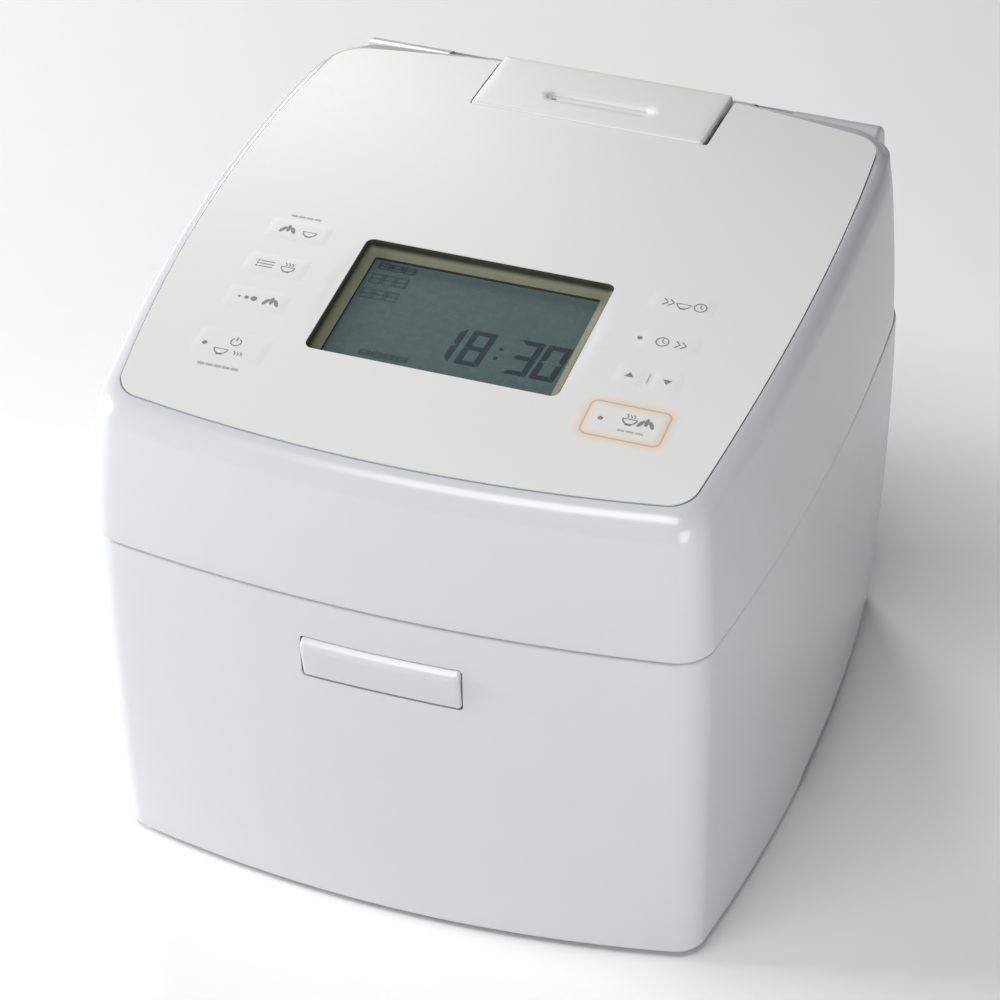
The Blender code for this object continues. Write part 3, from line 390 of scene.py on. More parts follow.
def unite(obj, *tools):
    return combine(obj, tools, "UNION")


def thicken(obj, thickness):
    solid = obj.modifiers.new("Solidify", "SOLIDIFY")
    solid.thickness = thickness
    solid.offset = -1
    solid.use_even_offset = True
    return obj


def sharp_border(obj):
    """Keep the shading of an open sheet flat up to its border once it is thickened."""
    bm = bmesh.new()
    bm.from_mesh(obj.data)
    for edge in bm.edges:
        if edge.is_boundary:
            edge.smooth = False
    bm.to_mesh(obj.data)
    bm.free()
    return obj


def inside(points, loop):
    """Which of the points lie inside a closed outline."""
    x, y = points[:, 0], points[:, 1]
    result = np.zeros(len(points), bool)
    for (xa, ya), (xb, yb) in zip(loop, list(loop[1:]) + [loop[0]]):
        crosses = (ya > y) != (yb > y)
        reach = xa + (y - ya) * (xb - xa) / (yb - ya if yb != ya else 1e-12)
        result ^= crosses & (x < reach)
    return result


def edge_distance(points, loop):
    """Distance of each point from a closed outline."""
    nearest = np.full(len(points), 1e9)
    for a, b in zip(loop, list(loop[1:]) + [loop[0]]):
        a, run = np.array(a), np.array(b) - np.array(a)
        share = np.clip((points - a) @ run / max(run @ run, 1e-18), 0, 1)
        nearest = np.minimum(nearest, np.linalg.norm(points - a - share[:, None] * run, axis=1))
    return nearest


def sheet(outline, holes, height, spacing):
    """Points and triangles of a surface over an outline with holes; height gives z at x and y."""
    loops = [[tuple(p) for p in loop] for loop in [outline] + holes]
    low, high = np.min(loops[0], axis=0), np.max(loops[0], axis=0)
    grid = np.array([(x + (row % 2) * spacing / 2, y)
                     for row, y in enumerate(np.arange(low[1], high[1], spacing * 0.87))
                     for x in np.arange(low[0], high[0], spacing)])
    keep = inside(grid, loops[0]) & (edge_distance(grid, loops[0]) > spacing * 0.45)
    for hole in loops[1:]:
        keep &= ~inside(grid, hole) & (edge_distance(grid, hole) > spacing * 0.45)
    verts = [Vector(p) for loop in loops for p in loop] + [Vector(p) for p in grid[keep]]
    edges, start = [], 0
    for loop in loops:
        edges += [(start + i, start + (i + 1) % len(loop)) for i in range(len(loop))]
        start += len(loop)
    points, _, faces, *_ = delaunay_2d_cdt(verts, edges, [], 0, 1e-7, False)
    middles = np.array([(points[a] + points[b] + points[c]) / 3 for a, b, c in faces])
    keep = inside(middles, loops[0])
    for hole in loops[1:]:
        keep &= ~inside(middles, hole)
    return [(p.x, p.y, height(p.x, p.y)) for p in points], [tuple(f) for f, k in zip(faces, keep) if k]


def merged(name, parts):
    """One object from several lists of points and faces that meet edge to edge."""
    verts, faces = [], []
    for part_verts, part_faces in parts:
        faces += [tuple(len(verts) + i for i in face) for face in part_faces]
        verts += part_verts
    used = sorted({i for face in faces for i in face})
    number = {old: new for new, old in enumerate(used)}
    return make(name, [verts[i] for i in used], [tuple(number[i] for i in face) for face in faces])


# ---------------------------------------------------------------- materials
class Finish:
    """A Principled material whose colour, roughness and bump come from procedural nodes."""

    def __init__(self, name, **constants):
        self.material = bpy.data.materials.new(name)
        self.material.use_nodes = True
        self.tree = self.material.node_tree
        self.shader = self.tree.nodes["Principled BSDF"]
        for key, value in constants.items():
            socket = self.shader.inputs[key.replace("_", " ")]
            socket.default_value = (*value, 1.0) if isinstance(value, tuple) else value
        self.place = self.node("ShaderNodeTexCoord").outputs["Object"]

    def node(self, kind, **settings):
        made = self.tree.nodes.new(kind)
        for key, value in settings.items():
            setattr(made, key, value)
        return made

    def link(self, source, target):
        self.tree.links.new(source, target)

    def math(self, operation, a, b=0.0, clamp=False):
        made = self.node("ShaderNodeMath", operation=operation, use_clamp=clamp)
        for socket, value in zip(made.inputs, (a, b)):
            if isinstance(value, (int, float)):
                socket.default_value = value
            else:
                self.link(value, socket)
        return made.outputs[0]

    def stretched(self, scale):
        made = self.node("ShaderNodeMapping")
        made.inputs["Scale"].default_value = scale
        self.link(self.place, made.inputs["Vector"])
        return made.outputs["Vector"]

    def noise(self, scale, detail=2.0, vector=None):
        made = self.node("ShaderNodeTexNoise")
        made.inputs["Scale"].default_value = scale
        made.inputs["Detail"].default_value = detail
        self.link(vector or self.place, made.inputs["Vector"])
        return made.outputs[0]

    def spots(self, scale, size):
        """1 inside scattered round flecks, 0 elsewhere."""
        made = self.node("ShaderNodeTexVoronoi")
        made.inputs["Scale"].default_value = scale
        self.link(self.place, made.inputs["Vector"])
        return self.math("LESS_THAN", made.outputs["Distance"], size)

    def spread(self, value, low, high, start=0.3, end=0.7):
        made = self.node("ShaderNodeMapRange")
        for key, number in zip(("From Min", "From Max", "To Min", "To Max"), (start, end, low, high)):
            made.inputs[key].default_value = number
        self.link(value, made.inputs["Value"])
        return made.outputs["Result"]

    def mix(self, factor, a, b):
        made = self.node("ShaderNodeMix", data_type="RGBA")
        self.link(factor, made.inputs["Factor"])
        for socket, value in zip((made.inputs[6], made.inputs[7]), (a, b)):
            if isinstance(value, tuple):
                socket.default_value = (*value, 1.0)
            else:
                self.link(value, socket)
        return made.outputs[2]

    def color(self, source):
        self.link(source, self.shader.inputs["Base Color"])
        return self

    def roughness(self, source):
        self.link(source, self.shader.inputs["Roughness"])
        return self

    def bump(self, source, distance):
        made = self.node("ShaderNodeBump")
        made.inputs["Distance"].default_value = distance
        made.inputs["Strength"].default_value = 1.0
        self.link(source, made.inputs["Height"])
        self.link(made.outputs["Normal"], self.shader.inputs["Normal"])
        return self


def tinted(color, change):
    return tuple(min(1.0, c * change) for c in color)


def moulded(name, color, rough, grain=900.0, depth=0.00002, vary=0.03, **constants):
    """Moulded plastic or rubber: slight flow marks in the colour and a fine surface grain."""
    made = Finish(name, **constants)
    flow = made.noise(35.0, 3.0)
    made.color(made.mix(made.spread(flow, 0.0, 1.0), tinted(color, 1 - vary), tinted(color, 1 + vary)))
    made.roughness(made.spread(made.noise(grain * 0.1), rough * 0.95, rough * 1.05))
    return made.bump(made.noise(grain), depth)


def brushed(name, color, rough, along=(4.0, 4.0, 900.0), **constants):
    """Metal with fine parallel drawing lines."""
    made = Finish(name, Metallic=1.0, **constants)
    lines = made.noise(1.0, 4.0, made.stretched(along))
    made.color(made.mix(made.spread(lines, 0.0, 1.0), tinted(color, 0.90), tinted(color, 1.06)))
    made.roughness(made.spread(lines, rough * 0.8, rough * 1.3))
    return made.bump(lines, 0.000015)


def ringed(name, color_a, color_b, pitch, centre_y, rough, metallic=0.0, depth=0.0002):
    """Concentric turns about the pot's axis, for windings and turned metal."""
    made = Finish(name, Metallic=metallic)
    split = made.node("ShaderNodeSeparateXYZ")
    made.link(made.place, split.inputs["Vector"])
    y = made.math("SUBTRACT", split.outputs["Y"], centre_y)
    square = made.math("ADD", made.math("POWER", split.outputs["X"], 2.0), made.math("POWER", y, 2.0))
    radius = made.math("SQRT", square)
    wave = made.math("SINE", made.math("MULTIPLY", made.math("ADD", radius, split.outputs["Z"]),
                                       2 * math.pi / pitch))
    turns = made.spread(wave, 0.0, 1.0, -1.0, 1.0)
    made.color(made.mix(turns, color_a, color_b))
    made.roughness(made.spread(made.noise(400.0), rough * 0.8, rough * 1.2))
    return made.bump(turns, depth)


def panel_film(ring):
    """Satin film with a pearl fleck; ring is the outline round one key, with a painted glow round it: centre, half
    sizes, radius.
    """
    base = (0.760, 0.765, 0.745)
    made = Finish("panel_satin", Specular_IOR_Level=0.45)
    pearl = made.mix(made.spread(made.noise(2600.0, 1.0), 0.0, 1.0), tinted(base, 0.985), tinted(base, 1.015))
    cloud = made.mix(made.spread(made.noise(9.0, 2.0), 0.0, 1.0), tinted(base, 0.99), tinted(base, 1.01))
    body = made.mix(made.spread(made.noise(700.0), 0.3, 0.7), pearl, cloud)
    centre, half, radius = ring
    split = made.node("ShaderNodeSeparateXYZ")
    made.link(made.place, split.inputs["Vector"])
    outside, inner = [], []
    for axis, where, size in zip("XY", centre, half):
        offset = made.math("ABSOLUTE", made.math("SUBTRACT", split.outputs[axis], where))
        past = made.math("SUBTRACT", offset, size - radius)
        outside.append(made.math("POWER", made.math("MAXIMUM", past, 0.0), 2.0))
        inner.append(past)
    reach = made.math("SQRT", made.math("ADD", *outside))
    depth = made.math("MINIMUM", made.math("MAXIMUM", *inner), 0.0)
    distance = made.math("SUBTRACT", made.math("ADD", reach, depth), radius)
    away = made.math("ABSOLUTE", distance)
    # painted glow: orange light fading out from the start key's outline, painted into the film's colour
    painted_glow = made.math("POWER", made.math("SUBTRACT", 1.0, made.math("DIVIDE", away, 0.0046), clamp=True), 1.6)
    line = made.spread(away, 1.0, 0.0, 0.00018, 0.00045)
    lit = made.mix(made.math("MULTIPLY", painted_glow, 0.75), body, (0.800, 0.600, 0.430))
    made.color(made.mix(made.math("MULTIPLY", line, 0.7), lit, (0.500, 0.330, 0.220)))
    made.roughness(made.spread(made.noise(1200.0), 0.34, 0.42))
    return made.bump(made.noise(1800.0), 0.000008)


def coved_frame():
    """Olive frame round the display, khaki on its slope, with painted shade on its upright wall."""
    made = Finish("display_frame")
    split = made.node("ShaderNodeSeparateXYZ")
    made.link(made.node("ShaderNodeNewGeometry").outputs["Normal"], split.inputs["Vector"])
    # painted shade: surfaces that stand upright are coloured near-black, standing in for the shadow under the
    # window's edge
    wall_shade_mask = made.spread(split.outputs["Z"], 0.0, 1.0, 0.30, 0.97)
    painted_wall_shade = made.mix(made.spread(made.noise(120.0), 0.0, 1.0), (0.040, 0.039, 0.027), (0.052, 0.050, 0.035))
    khaki = made.mix(made.spread(made.noise(150.0), 0.0, 1.0), (0.300, 0.315, 0.215), (0.330, 0.345, 0.240))
    made.color(made.mix(wall_shade_mask, painted_wall_shade, khaki))
    made.roughness(made.spread(made.noise(500.0), 0.42, 0.55))
    return made.bump(made.noise(1500.0), 0.00001)


def display_glass():
    """Reflective display layer: blue-green with a faint pixel weave."""
    made = Finish("lcd_glass", Specular_IOR_Level=0.4, Coat_Weight=0.3, Coat_Roughness=0.08)
    cloud = made.mix(made.spread(made.noise(9.0, 2.0), 0.0, 1.0),
                     (0.122, 0.188, 0.194), (0.134, 0.202, 0.203))
    weave = made.mix(made.spread(made.noise(1.0, 0.0, made.stretched((5200.0, 5200.0, 1.0))), 0.0, 1.0),
                     (0.125, 0.191, 0.196), (0.131, 0.199, 0.201))
    made.color(made.mix(made.spread(made.noise(25.0), 0.4, 0.6), cloud, weave))
    made.roughness(made.spread(made.noise(300.0), 0.22, 0.30))
    return made.bump(made.noise(2500.0), 0.000001)


def circuit():
    """Solder-masked board with copper tracks showing through."""
    made = Finish("circuit_board")
    tracks = made.node("ShaderNodeTexBrick")
    made.link(made.stretched((160.0, 160.0, 160.0)), tracks.inputs["Vector"])
    tracks.inputs["Color1"].default_value = (0.030, 0.160, 0.070, 1)
    tracks.inputs["Color2"].default_value = (0.040, 0.190, 0.085, 1)
    tracks.inputs["Mortar"].default_value = (0.130, 0.330, 0.120, 1)
    pads = made.spots(220.0, 0.22)
    made.color(made.mix(pads, tracks.outputs["Color"], (0.620, 0.600, 0.540)))
    made.roughness(made.spread(made.noise(300.0), 0.35, 0.5))
    return made.bump(tracks.outputs["Fac"], 0.00004)


def pot_coating():
    """Dark non-stick coating with pale mineral flecks over a fine surface grain."""
    made = Finish("pot_coating", Metallic=0.35, Coat_Weight=0.3, Coat_Roughness=0.25)
    base = made.mix(made.spread(made.noise(60.0, 3.0), 0.0, 1.0),
                    (0.085, 0.083, 0.085), (0.115, 0.113, 0.116))
    fine = made.mix(made.spots(900.0, 0.16), base, (0.340, 0.330, 0.320))
    made.color(made.mix(made.spots(320.0, 0.09), fine, (0.450, 0.430, 0.400)))
    made.roughness(made.spread(made.noise(500.0), 0.30, 0.45))
    return made.bump(made.noise(700.0), 0.00003)


START_KEY = (node_centre("key_start")[:2], node_halves("key_start")[:2], KEY_CORNER)

FINISHES = {
    "case_white": moulded("case_white", (0.655, 0.660, 0.695), 0.25, 250.0, 0.0000003, 0.004,
                          Coat_Weight=0.25, Coat_Roughness=0.14),
    "panel_satin": panel_film(START_KEY),
    "grey_plastic": moulded("grey_plastic", (0.450, 0.450, 0.460), 0.48, 1400.0, 0.00004),
    "black_plastic": moulded("black_plastic", (0.050, 0.050, 0.055), 0.45, 1400.0, 0.00004, 0.12),
    "rubber": moulded("rubber", (0.300, 0.300, 0.310), 0.80, 1100.0, 0.00005, 0.05),
    "steel": brushed("steel", (0.600, 0.600, 0.620), 0.28),
    "pot_coating": pot_coating(),
    "copper_coil": ringed("copper_coil", (0.330, 0.130, 0.060), (0.640, 0.300, 0.150), 0.0016, POT_Y, 0.42,
                          0.8),
    "circuit_board": circuit(),
    "aluminium": brushed("aluminium", (0.780, 0.780, 0.800), 0.34, (900.0, 4.0, 4.0)),
    "clear_window": moulded("clear_window", (0.020, 0.022, 0.022), 0.06, 200.0, 0.000002, 0.05, Alpha=0.10),
    "display_frame": coved_frame(),
    "lcd_glass": display_glass(),
}
LCD_INK = moulded("lcd_ink", (0.014, 0.034, 0.052), 0.35, 600.0, 0.000002, 0.15)
LCD_GHOST = moulded("lcd_ghost", (0.066, 0.110, 0.124), 0.30, 600.0, 0.000002, 0.06)
LEGEND_INK = moulded("legend_ink", (0.210, 0.215, 0.215), 0.45, 900.0, 0.000004, 0.06)
PALE_INK = moulded("legend_ink_pale", (0.400, 0.405, 0.405), 0.45, 900.0, 0.000004, 0.05)
# painted shade: a near-black stand-in for the shadow inside narrow gaps
SHADOW_BLACK = moulded("gap_black", (0.008, 0.008, 0.009), 0.70, 900.0, 0.00001, 0.2)


def put(obj, body, slot, *nodes, finish=None):
    """Give a piece its finish and its body, and let it stand for CAD nodes."""
    obj.data.materials.clear()
    obj.data.materials.append((finish or FINISHES[slot]).material)
    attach(obj, body)
    if nodes:
        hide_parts(*nodes)
    return obj


# ---------------------------------------------------------------- case
def body_shell():
    edge, foot_inset, rim, ledge, rows = 0.0022, 0.0015, 0.0013, 0.0004, 30
    rings = []
    for across, along in quarter_turn(5):
        z = BASE_Z + edge * along
        rings.append(level_ring(shrink(body_outline(z), foot_inset * across), z))
    for k in range(1, rows):
        z = BASE_Z + edge + (BODY_HEIGHT - edge - rim) * k / rows
        rings.append(level_ring(body_outline(z), z))
    for across, along in quarter_turn(6):
        z = SEAM_Z - rim * across
        rings.append(level_ring(shrink(body_outline(z), rim * along), z))
    rings.append(level_ring(shrink(body_outline(SEAM_Z), WALL - ledge), SEAM_Z))
    rings.append(level_ring(shrink(body_outline(SEAM_Z), WALL), SEAM_Z - ledge))
    for share in (0.95, 0.85, 0.6, 0.35, 0.12, 0.03, 0.0):
        z = BASE_Z + BODY_HEIGHT * share
        inset = WALL + (foot_inset if share == 0.0 else 0.0)
        rings.append(level_ring(shrink(body_outline(z), inset), z))
    case = loft("case", rings, wrap=True)
    cutters = [button_form("button_opening", SLIP)]
    grip_y, grip_half, grip_top = 0.0275, 0.0415, BASE_Z + 0.0045
    grip = rounded_rectangle(grip_y, grip_top - 0.010, grip_half, 0.010, 0.0025)
    cutters.append(prism("grip_opening", grip, -0.15, 0.15, "X"))
    outlet = node_centre("cord_outlet")
    cutters.append(prism("outlet_opening", circle(outlet.x, outlet.z, 0.0085 + GAP), 0.120, 0.150, "Y"))
    first_vent, vent_pitch, vent_z = 0.03175, 0.011, 0.074
    for k in range(5):
        slot = rounded_rectangle(first_vent + vent_pitch * k, vent_z, 0.00175, 0.014, 0.0017)
        cutters.append(prism("rear_vent", slot, 0.12, 0.16, "Y"))
    return put(cut(case, *cutters), "base", "case_white", "body_shell")


def button_form(name, clearance=0.0, edge=0.0015):
    """The latch button: a wedge that follows the case, with its top an arc about the latch pin.

    With a clearance it is the larger plain form that cuts the opening in the case."""
    overcut = 0.004 if clearance > 0 else 0.0
    half = BUTTON_HALF + clearance
    radius = math.hypot(WALL_Y - LATCH_Y, BUTTON_HIGH - LATCH_Z) - SLIP + clearance
    rear = WALL_Y + (BUTTON_DEEP - BUTTON_PROUD) + overcut
    proud, flush = BUTTON_PROUD + overcut, BUTTON_FLUSH + overcut
    stations = rounded_ends(half, edge, 6)
    for k in range(1, 12):
        stations.append(((half - edge) * (1 - k / 12), 0.0))
    stations += [(0.0, 0.0)] + [(-x, inset) for x, inset in reversed(stations)]
    rings = []
    for x, inset in stations:
        low = BUTTON_LOW - clearance + inset
        front = body_front(x, BUTTON_HIGH) - proud + inset
        foot = body_front(x, BUTTON_LOW) - flush + inset
        top = [(y, LATCH_Z + math.sqrt((radius - inset) ** 2 - (y - LATCH_Y) ** 2))
               for y in (front, (front + rear) / 2, rear)]
        profile = fillet([(rear, low), (foot, low)] + top, 0.0002 if overcut else 0.0026, steps=8)
        rings.append([(x, y, z) for y, z in profile])
    return loft(name, rings, cap_first=True, cap_last=True)


def latch_button():
    put(button_form("latch_push"), "latch_button", "case_white", "latch_button")
    hook_y, hook_z, hook_high = -0.1308, SEAM_Z + 0.0040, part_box("latch_button")[1].z
    lever = turned("latch_lever", [(0.0, -0.010), (0.0036, -0.010), (0.0036, 0.010), (0.0, 0.010)],
                   (0, LATCH_Y, LATCH_Z), 48, axis="X")
    web = block("web", (-0.010, WALL_Y + 0.0032, BUTTON_LOW + 0.003), (0.010, LATCH_Y, BUTTON_LOW + 0.010))
    arm = block("arm", (-0.008, LATCH_Y - 0.0020, LATCH_Z), (0.008, LATCH_Y + 0.0020, hook_high))
    nose = block("nose", (-0.008, hook_y, hook_z), (0.008, LATCH_Y, hook_high))
    unite(lever, web, arm, nose)
    cut(lever, prism("bore", circle(LATCH_Y, LATCH_Z, 0.0018, 32), -0.03, 0.03, "X"))
    put(lever, "latch_button", "case_white")


def hinge_housing():
    """Cover along the rear of the case whose top is the hinge barrel."""
    y, z, r = HINGE_Y, HINGE_Z, BARREL_RADIUS
    front, rear, foot, rise = y - r, y + r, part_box("hinge_housing")[0].z, SEAM_Z + SLIP
    neck = front + WALL
    stations = rounded_ends(HINGE_HALF_WIDTH, 0.0016, 5)
    stations += [(-x, inset) for x, inset in reversed(stations)]
    rings = []
    for x, inset in stations:
        reach, half_turn = r - inset, [math.pi * k / 40 for k in range(41)]
        arc = [(y + reach * math.cos(a), z + reach * math.sin(a)) for a in half_turn]
        side = [(front + inset, foot), (neck - inset * 0.5, foot), (neck - inset * 0.5, rise + inset),
                (rear - inset, rise + inset)]
        rings.append([(x, a, b) for a, b in side + arc])
    housing = loft("hinge_cover", rings, cap_first=True, cap_last=True)
    half, floor, roof = HINGE_HALF_WIDTH - WALL, rise - 0.01, z - r - 0.003
    hollow = [(neck, floor), (rear - WALL, floor), (rear - WALL, roof), (neck, roof)]
    cutters = [prism("hollow", hollow, -half, half, "X")]
    for side in (-1, 1):
        x_a, x_b = sorted((side * (ARM_INNER - SLIP), side * (ARM_OUTER + SLIP)))
        notch = rounded_rectangle(y - 0.0066, z + 0.00625, 0.0134, 0.01375, 0.001)
        cutters.append(prism("arm_notch", notch, x_a, x_b, "X"))
    spring = rounded_rectangle(y - 0.0066, z + 0.0066, 0.0134, 0.0134, 0.001)
    cutters.append(prism("spring_notch", spring, -0.012, 0.012, "X"))
    cutters.append(prism("shaft_bore", circle(y, z, 0.0023, 32), -0.095, 0.095, "X"))
    put(cut(housing, *cutters), "base", "case_white", "hinge_housing")


def feet_and_outlet():
    for node in ("foot_front_left", "foot_front_right", "foot_rear_left", "foot_rear_right"):
        low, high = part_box(node)
        middle, height, r = (low + high) / 2, high.z - low.z, (high.x - low.x) / 2
        side = [(r - 0.001, height), (r, height - 0.0004), (r, 0.0010), (r - 0.001, 0.0)]
        profile = [(0.0, height)] + fillet(side, 0.0006, closed=False)
        profile += [(r - 0.0022, 0.0), (r - 0.0026, 0.0006), (r - 0.0042, 0.0006), (r - 0.0046, 0.0),
                    (0.0, 0.0)]
        put(turned(node + "_pad", profile, (middle.x, middle.y, low.z), 64), "base", "rubber", node)
    low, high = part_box("cord_outlet")
    middle, r, deep = (low + high) / 2, (high.x - low.x) / 2, high.y - low.y
    bore, flange = r - 0.0065, deep - 0.0020
    profile = [(bore, 0.0), (bore, deep), (r, deep), (r, flange), (r - 0.0030, flange), (r - 0.0030, 0.0)]
    place = (middle.x, low.y, middle.z)
    bezel = turned("outlet_bezel", fillet(profile, 0.0007), place, 72, ring=True, axis="Y")
    put(bezel, "base", "grey_plastic", "cord_outlet")
    for node in ("screw_front_left", "screw_rear_left", "screw_front_right", "screw_rear_right"):
        low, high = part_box(node)
        middle, tall, r = (low + high) / 2, high.z - low.z, (high.x - low.x) / 2
        head = BASE_Z - GAP - low.z
        profile = [(0.0, tall), (0.0010, tall), (0.0014, tall - 0.001), (0.0014, head),
                   (r, head), (r, 0.0008), (r - 0.0006, 0.0002), (0.0, 0.0)]
        screw = turned(node + "_head", profile, (middle.x, middle.y, low.z), 40)
        for half_x, half_y in ((0.0016, 0.0003), (0.0003, 0.0016)):
            recess = bar(middle.x, middle.y, half_x, half_y)
            cut(screw, prism("recess", recess, low.z - 0.001, low.z + 0.0009))
        put(screw, "base", "steel", node)


# ---------------------------------------------------------------- cooking space
def cooking_space():
    deck_low, deck_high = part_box("top_frame")
    outside = [tuple(p) for p in plan(shrink(body_outline(deck_high.z), WALL + 0.0006))]
    hole = circle(0, POT_Y, POT_RADIUS + 0.0015, 128)
    slot = rounded_rectangle(0, -0.12835, 0.012, 0.00785, 0.001)
    deck = plate("deck", [outside, hole, slot], deck_low.z, deck_high.z, 0.0006)
    put(deck, "base", "case_white", "top_frame")

    low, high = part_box("inner_pot")
    r, wall, top = POT_RADIUS, POT_WALL, high.z - low.z
    flange = (high.x - low.x) / 2 - r
    curve = [(POT_CORNER * across, POT_CORNER * along) for across, along in quarter_turn(14)]
    inner = [(r - wall - back, wall + up) for back, up in curve]
    outer = [(r - back, up) for back, up in reversed(curve)]
    lip = fillet([(r - wall, top - 0.004), (r - wall + 0.0004, top), (r + flange, top),
                  (r + flange, top - 0.0015), (r, top - 0.0015), (r, top - 0.004)], 0.0007, closed=False)
    profile = [(0.0, wall)] + inner + lip + outer + [(0.0, 0.0)]
    put(turned("pot", profile, (0, POT_Y, low.z), 144), "base", "pot_coating", "inner_pot")


def sensor_spring():
    """Coil spring under the temperature sensor, from its foot up to its head."""
    low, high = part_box("sensor_spring")
    wire, turns, steps, sides = 0.0006, 2, 40, 12
    radius = (high.x - low.x) / 2 - wire
    foot, head = low.z + wire, high.z - wire
    lean = math.atan2(head - foot, turns * 2 * math.pi * radius)
    rings = []
    for k in range(turns * steps + 1):
        angle = 2 * math.pi * k / steps
        outward = Vector((math.cos(angle), math.sin(angle), 0))
        along = Vector((-math.sin(angle) * math.cos(lean), math.cos(angle) * math.cos(lean), math.sin(lean)))
        across = outward.cross(along)
        middle = Vector((0, POT_Y, foot + (head - foot) * k / (turns * steps))) + outward * radius
        turn = [2 * math.pi * i / sides for i in range(sides)]
        rings.append([middle + (outward * math.cos(a) + across * math.sin(a)) * wire for a in turn])
    spring = loft("sensor_coil", rings, cap_first=True, cap_last=True)
    spring.data.materials.append(FINISHES["steel"].material)
    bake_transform(spring)
    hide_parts("sensor_spring")


# ---------------------------------------------------------------- lid
LID_REAR_STEPS = [
    # share of the way from seam to panel outline, rear edge, rear bow, depth below the panel at the rear
    (0.25, LID_REAR, 0.0, 0.0245),
    (0.34, LID_REAR, 0.0, 0.0130),
    (0.46, LID_REAR + 0.0016, 0.0, 0.0080),
    (0.60, LID_REAR + 0.0050, 0.0006, 0.0043),
    (0.74, 0.1250, 0.0065, 0.0032),
    (0.88, 0.1248, 0.0068, 0.0016),
    (1.00, PANEL.y_back + GAP, PANEL.back_bow, 0.0003),
]
RIM_START = (0.25, 0.0095)                       # where the wall turns over into the rim: share, depth
RIM_LEAN = 10.9                                  # how fast the share grows with height at that place
REAR_CORNER = 0.016                              # the lid's rear corners up to the share where they tighten
CORNER_SHARE = 0.88


def lid_outline(share, rear, rear_bow, rear_radius=REAR_CORNER):
    return blend(SEAM, PANEL, share)._replace(y_back=rear, back_bow=rear_bow, r_back=rear_radius)


def lid_ring(outline, front_depth, rear_depth):
    """A ring below the panel surface, deeper at the rear, where the lid clears the hinge barrel."""
    ring = []
    for p in plan(outline):
        share = min(max((p.y - 0.098) / 0.020, 0.0), 1.0)
        depth = front_depth + (rear_depth - front_depth) * share * share * (3 - 2 * share)
        ring.append((p.x, p.y, panel_z(p.y) - depth))
    return ring


def rear_step(share):
    """Rear edge, bow and depth of the lid for a share, read between the steps above."""
    shares = [step[0] for step in LID_REAR_STEPS]
    return [float(np.interp(share, shares, [step[i] for step in LID_REAR_STEPS])) for i in (1, 2, 3)]


def rim_points(count):
    """The rim's section at the front and sides, as share and depth, from the wall to the panel."""
    share, depth = RIM_START
    rise = 0.0052
    bezier = [(share, depth), (share + RIM_LEAN * rise, depth - rise), (0.60, 0.0003), (1.0, 0.0003)]
    points = []
    for k in range(count + 1):
        t = k / count
        weights = ((1 - t) ** 3, 3 * (1 - t) ** 2 * t, 3 * (1 - t) * t * t, t ** 3)
        points.append(tuple(sum(w * p[i] for w, p in zip(weights, bezier)) for i in (0, 1)))
    return points


def lid_shell():
    proud = -0.001 / (PANEL.y_front - SEAM.y_front + SEAM.front_bow - PANEL.front_bow)
    start = lid_outline(proud, LID_REAR, 0.0)
    edge, rows = 0.0012, 14
    rings = []
    for across, along in quarter_turn(5):
        rings.append(level_ring(shrink(start, edge * across), LID_Z + edge * along))
    total = RIM_START[0] - proud
    slow = 0.34
    for k in range(1, rows):
        rise = k / rows
        outline = lid_outline(proud + total * (slow * rise + (1 - slow) * rise ** 2), LID_REAR, 0.0)
        ring = []
        for x, y, top in lid_ring(outline, RIM_START[1], LID_REAR_STEPS[0][3]):
            ring.append((x, y, LID_Z + edge + (top - LID_Z - edge) * rise))
        rings.append(ring)
    for share, depth in rim_points(26):
        rear, bow, rear_depth = rear_step(share)
        past = max(share - CORNER_SHARE, 0.0)
        radius = REAR_CORNER + (PANEL.r_back - REAR_CORNER) * past / (1 - CORNER_SHARE)
        if share < 1.0:
            rings.append(lid_ring(lid_outline(share, rear, bow, radius), depth, rear_depth))
    rim = shrink(PANEL, -GAP)
    ledge = shrink(PANEL, 0.004)._replace(y_back=PANEL.y_back - 0.0075)
    step = PANEL_THICK + GAP
    for outline, depth in ((shrink(rim, -0.0003), 0.0003), (rim, 0.0006), (rim, step), (ledge, step),
                           (ledge, step + 0.0018)):
        rings.append(lid_ring(outline, depth, depth))
    rings.append(lid_ring(shrink(lid_outline(0.34, LID_REAR, 0.0), LID_WALL), 0.0100, 0.0140))
    rings.append(level_ring(shrink(lid_outline(0.03, LID_REAR, 0.0), LID_WALL), LID_Z + 0.025))
    rings.append(level_ring(shrink(start, LID_WALL), LID_Z + 0.0004))
    rings.append(level_ring(shrink(start, LID_WALL - 0.0004), LID_Z))
    lid = loft("lid_cover", rings, wrap=True)
    cutters = [prism("steam_notch", notch_outline(), PANEL_HEIGHT + 0.0053, 0.250)]
    for side in (-1, 1):
        x_a, x_b = sorted((side * (ARM_INNER - GAP), side * (ARM_OUTER + GAP)))
        low, high = HINGE_Z - 0.0038, HINGE_Z + 0.0038
        slot = [(0.108, low), (0.130, low), (0.130, high), (0.108, high)]
        cutters.append(prism("arm_slot", slot, x_a, x_b, "X"))
    put(cut(lid, *cutters), "lid", "case_white", "lid_shell")


def notch_outline():
    """Space for the steam cap, open to the rear, with the finger groove at its right end."""
    left, right = -CAP_HALF_WIDTH - GAP, CAP_HALF_WIDTH + CAP_GROOVE
    front, rear = CAP_FRONT - GAP, 0.150
    x, y = (left + right) / 2, (front + rear) / 2
    return rounded_rectangle(x, y, (right - left) / 2, (rear - front) / 2, 0.0015)


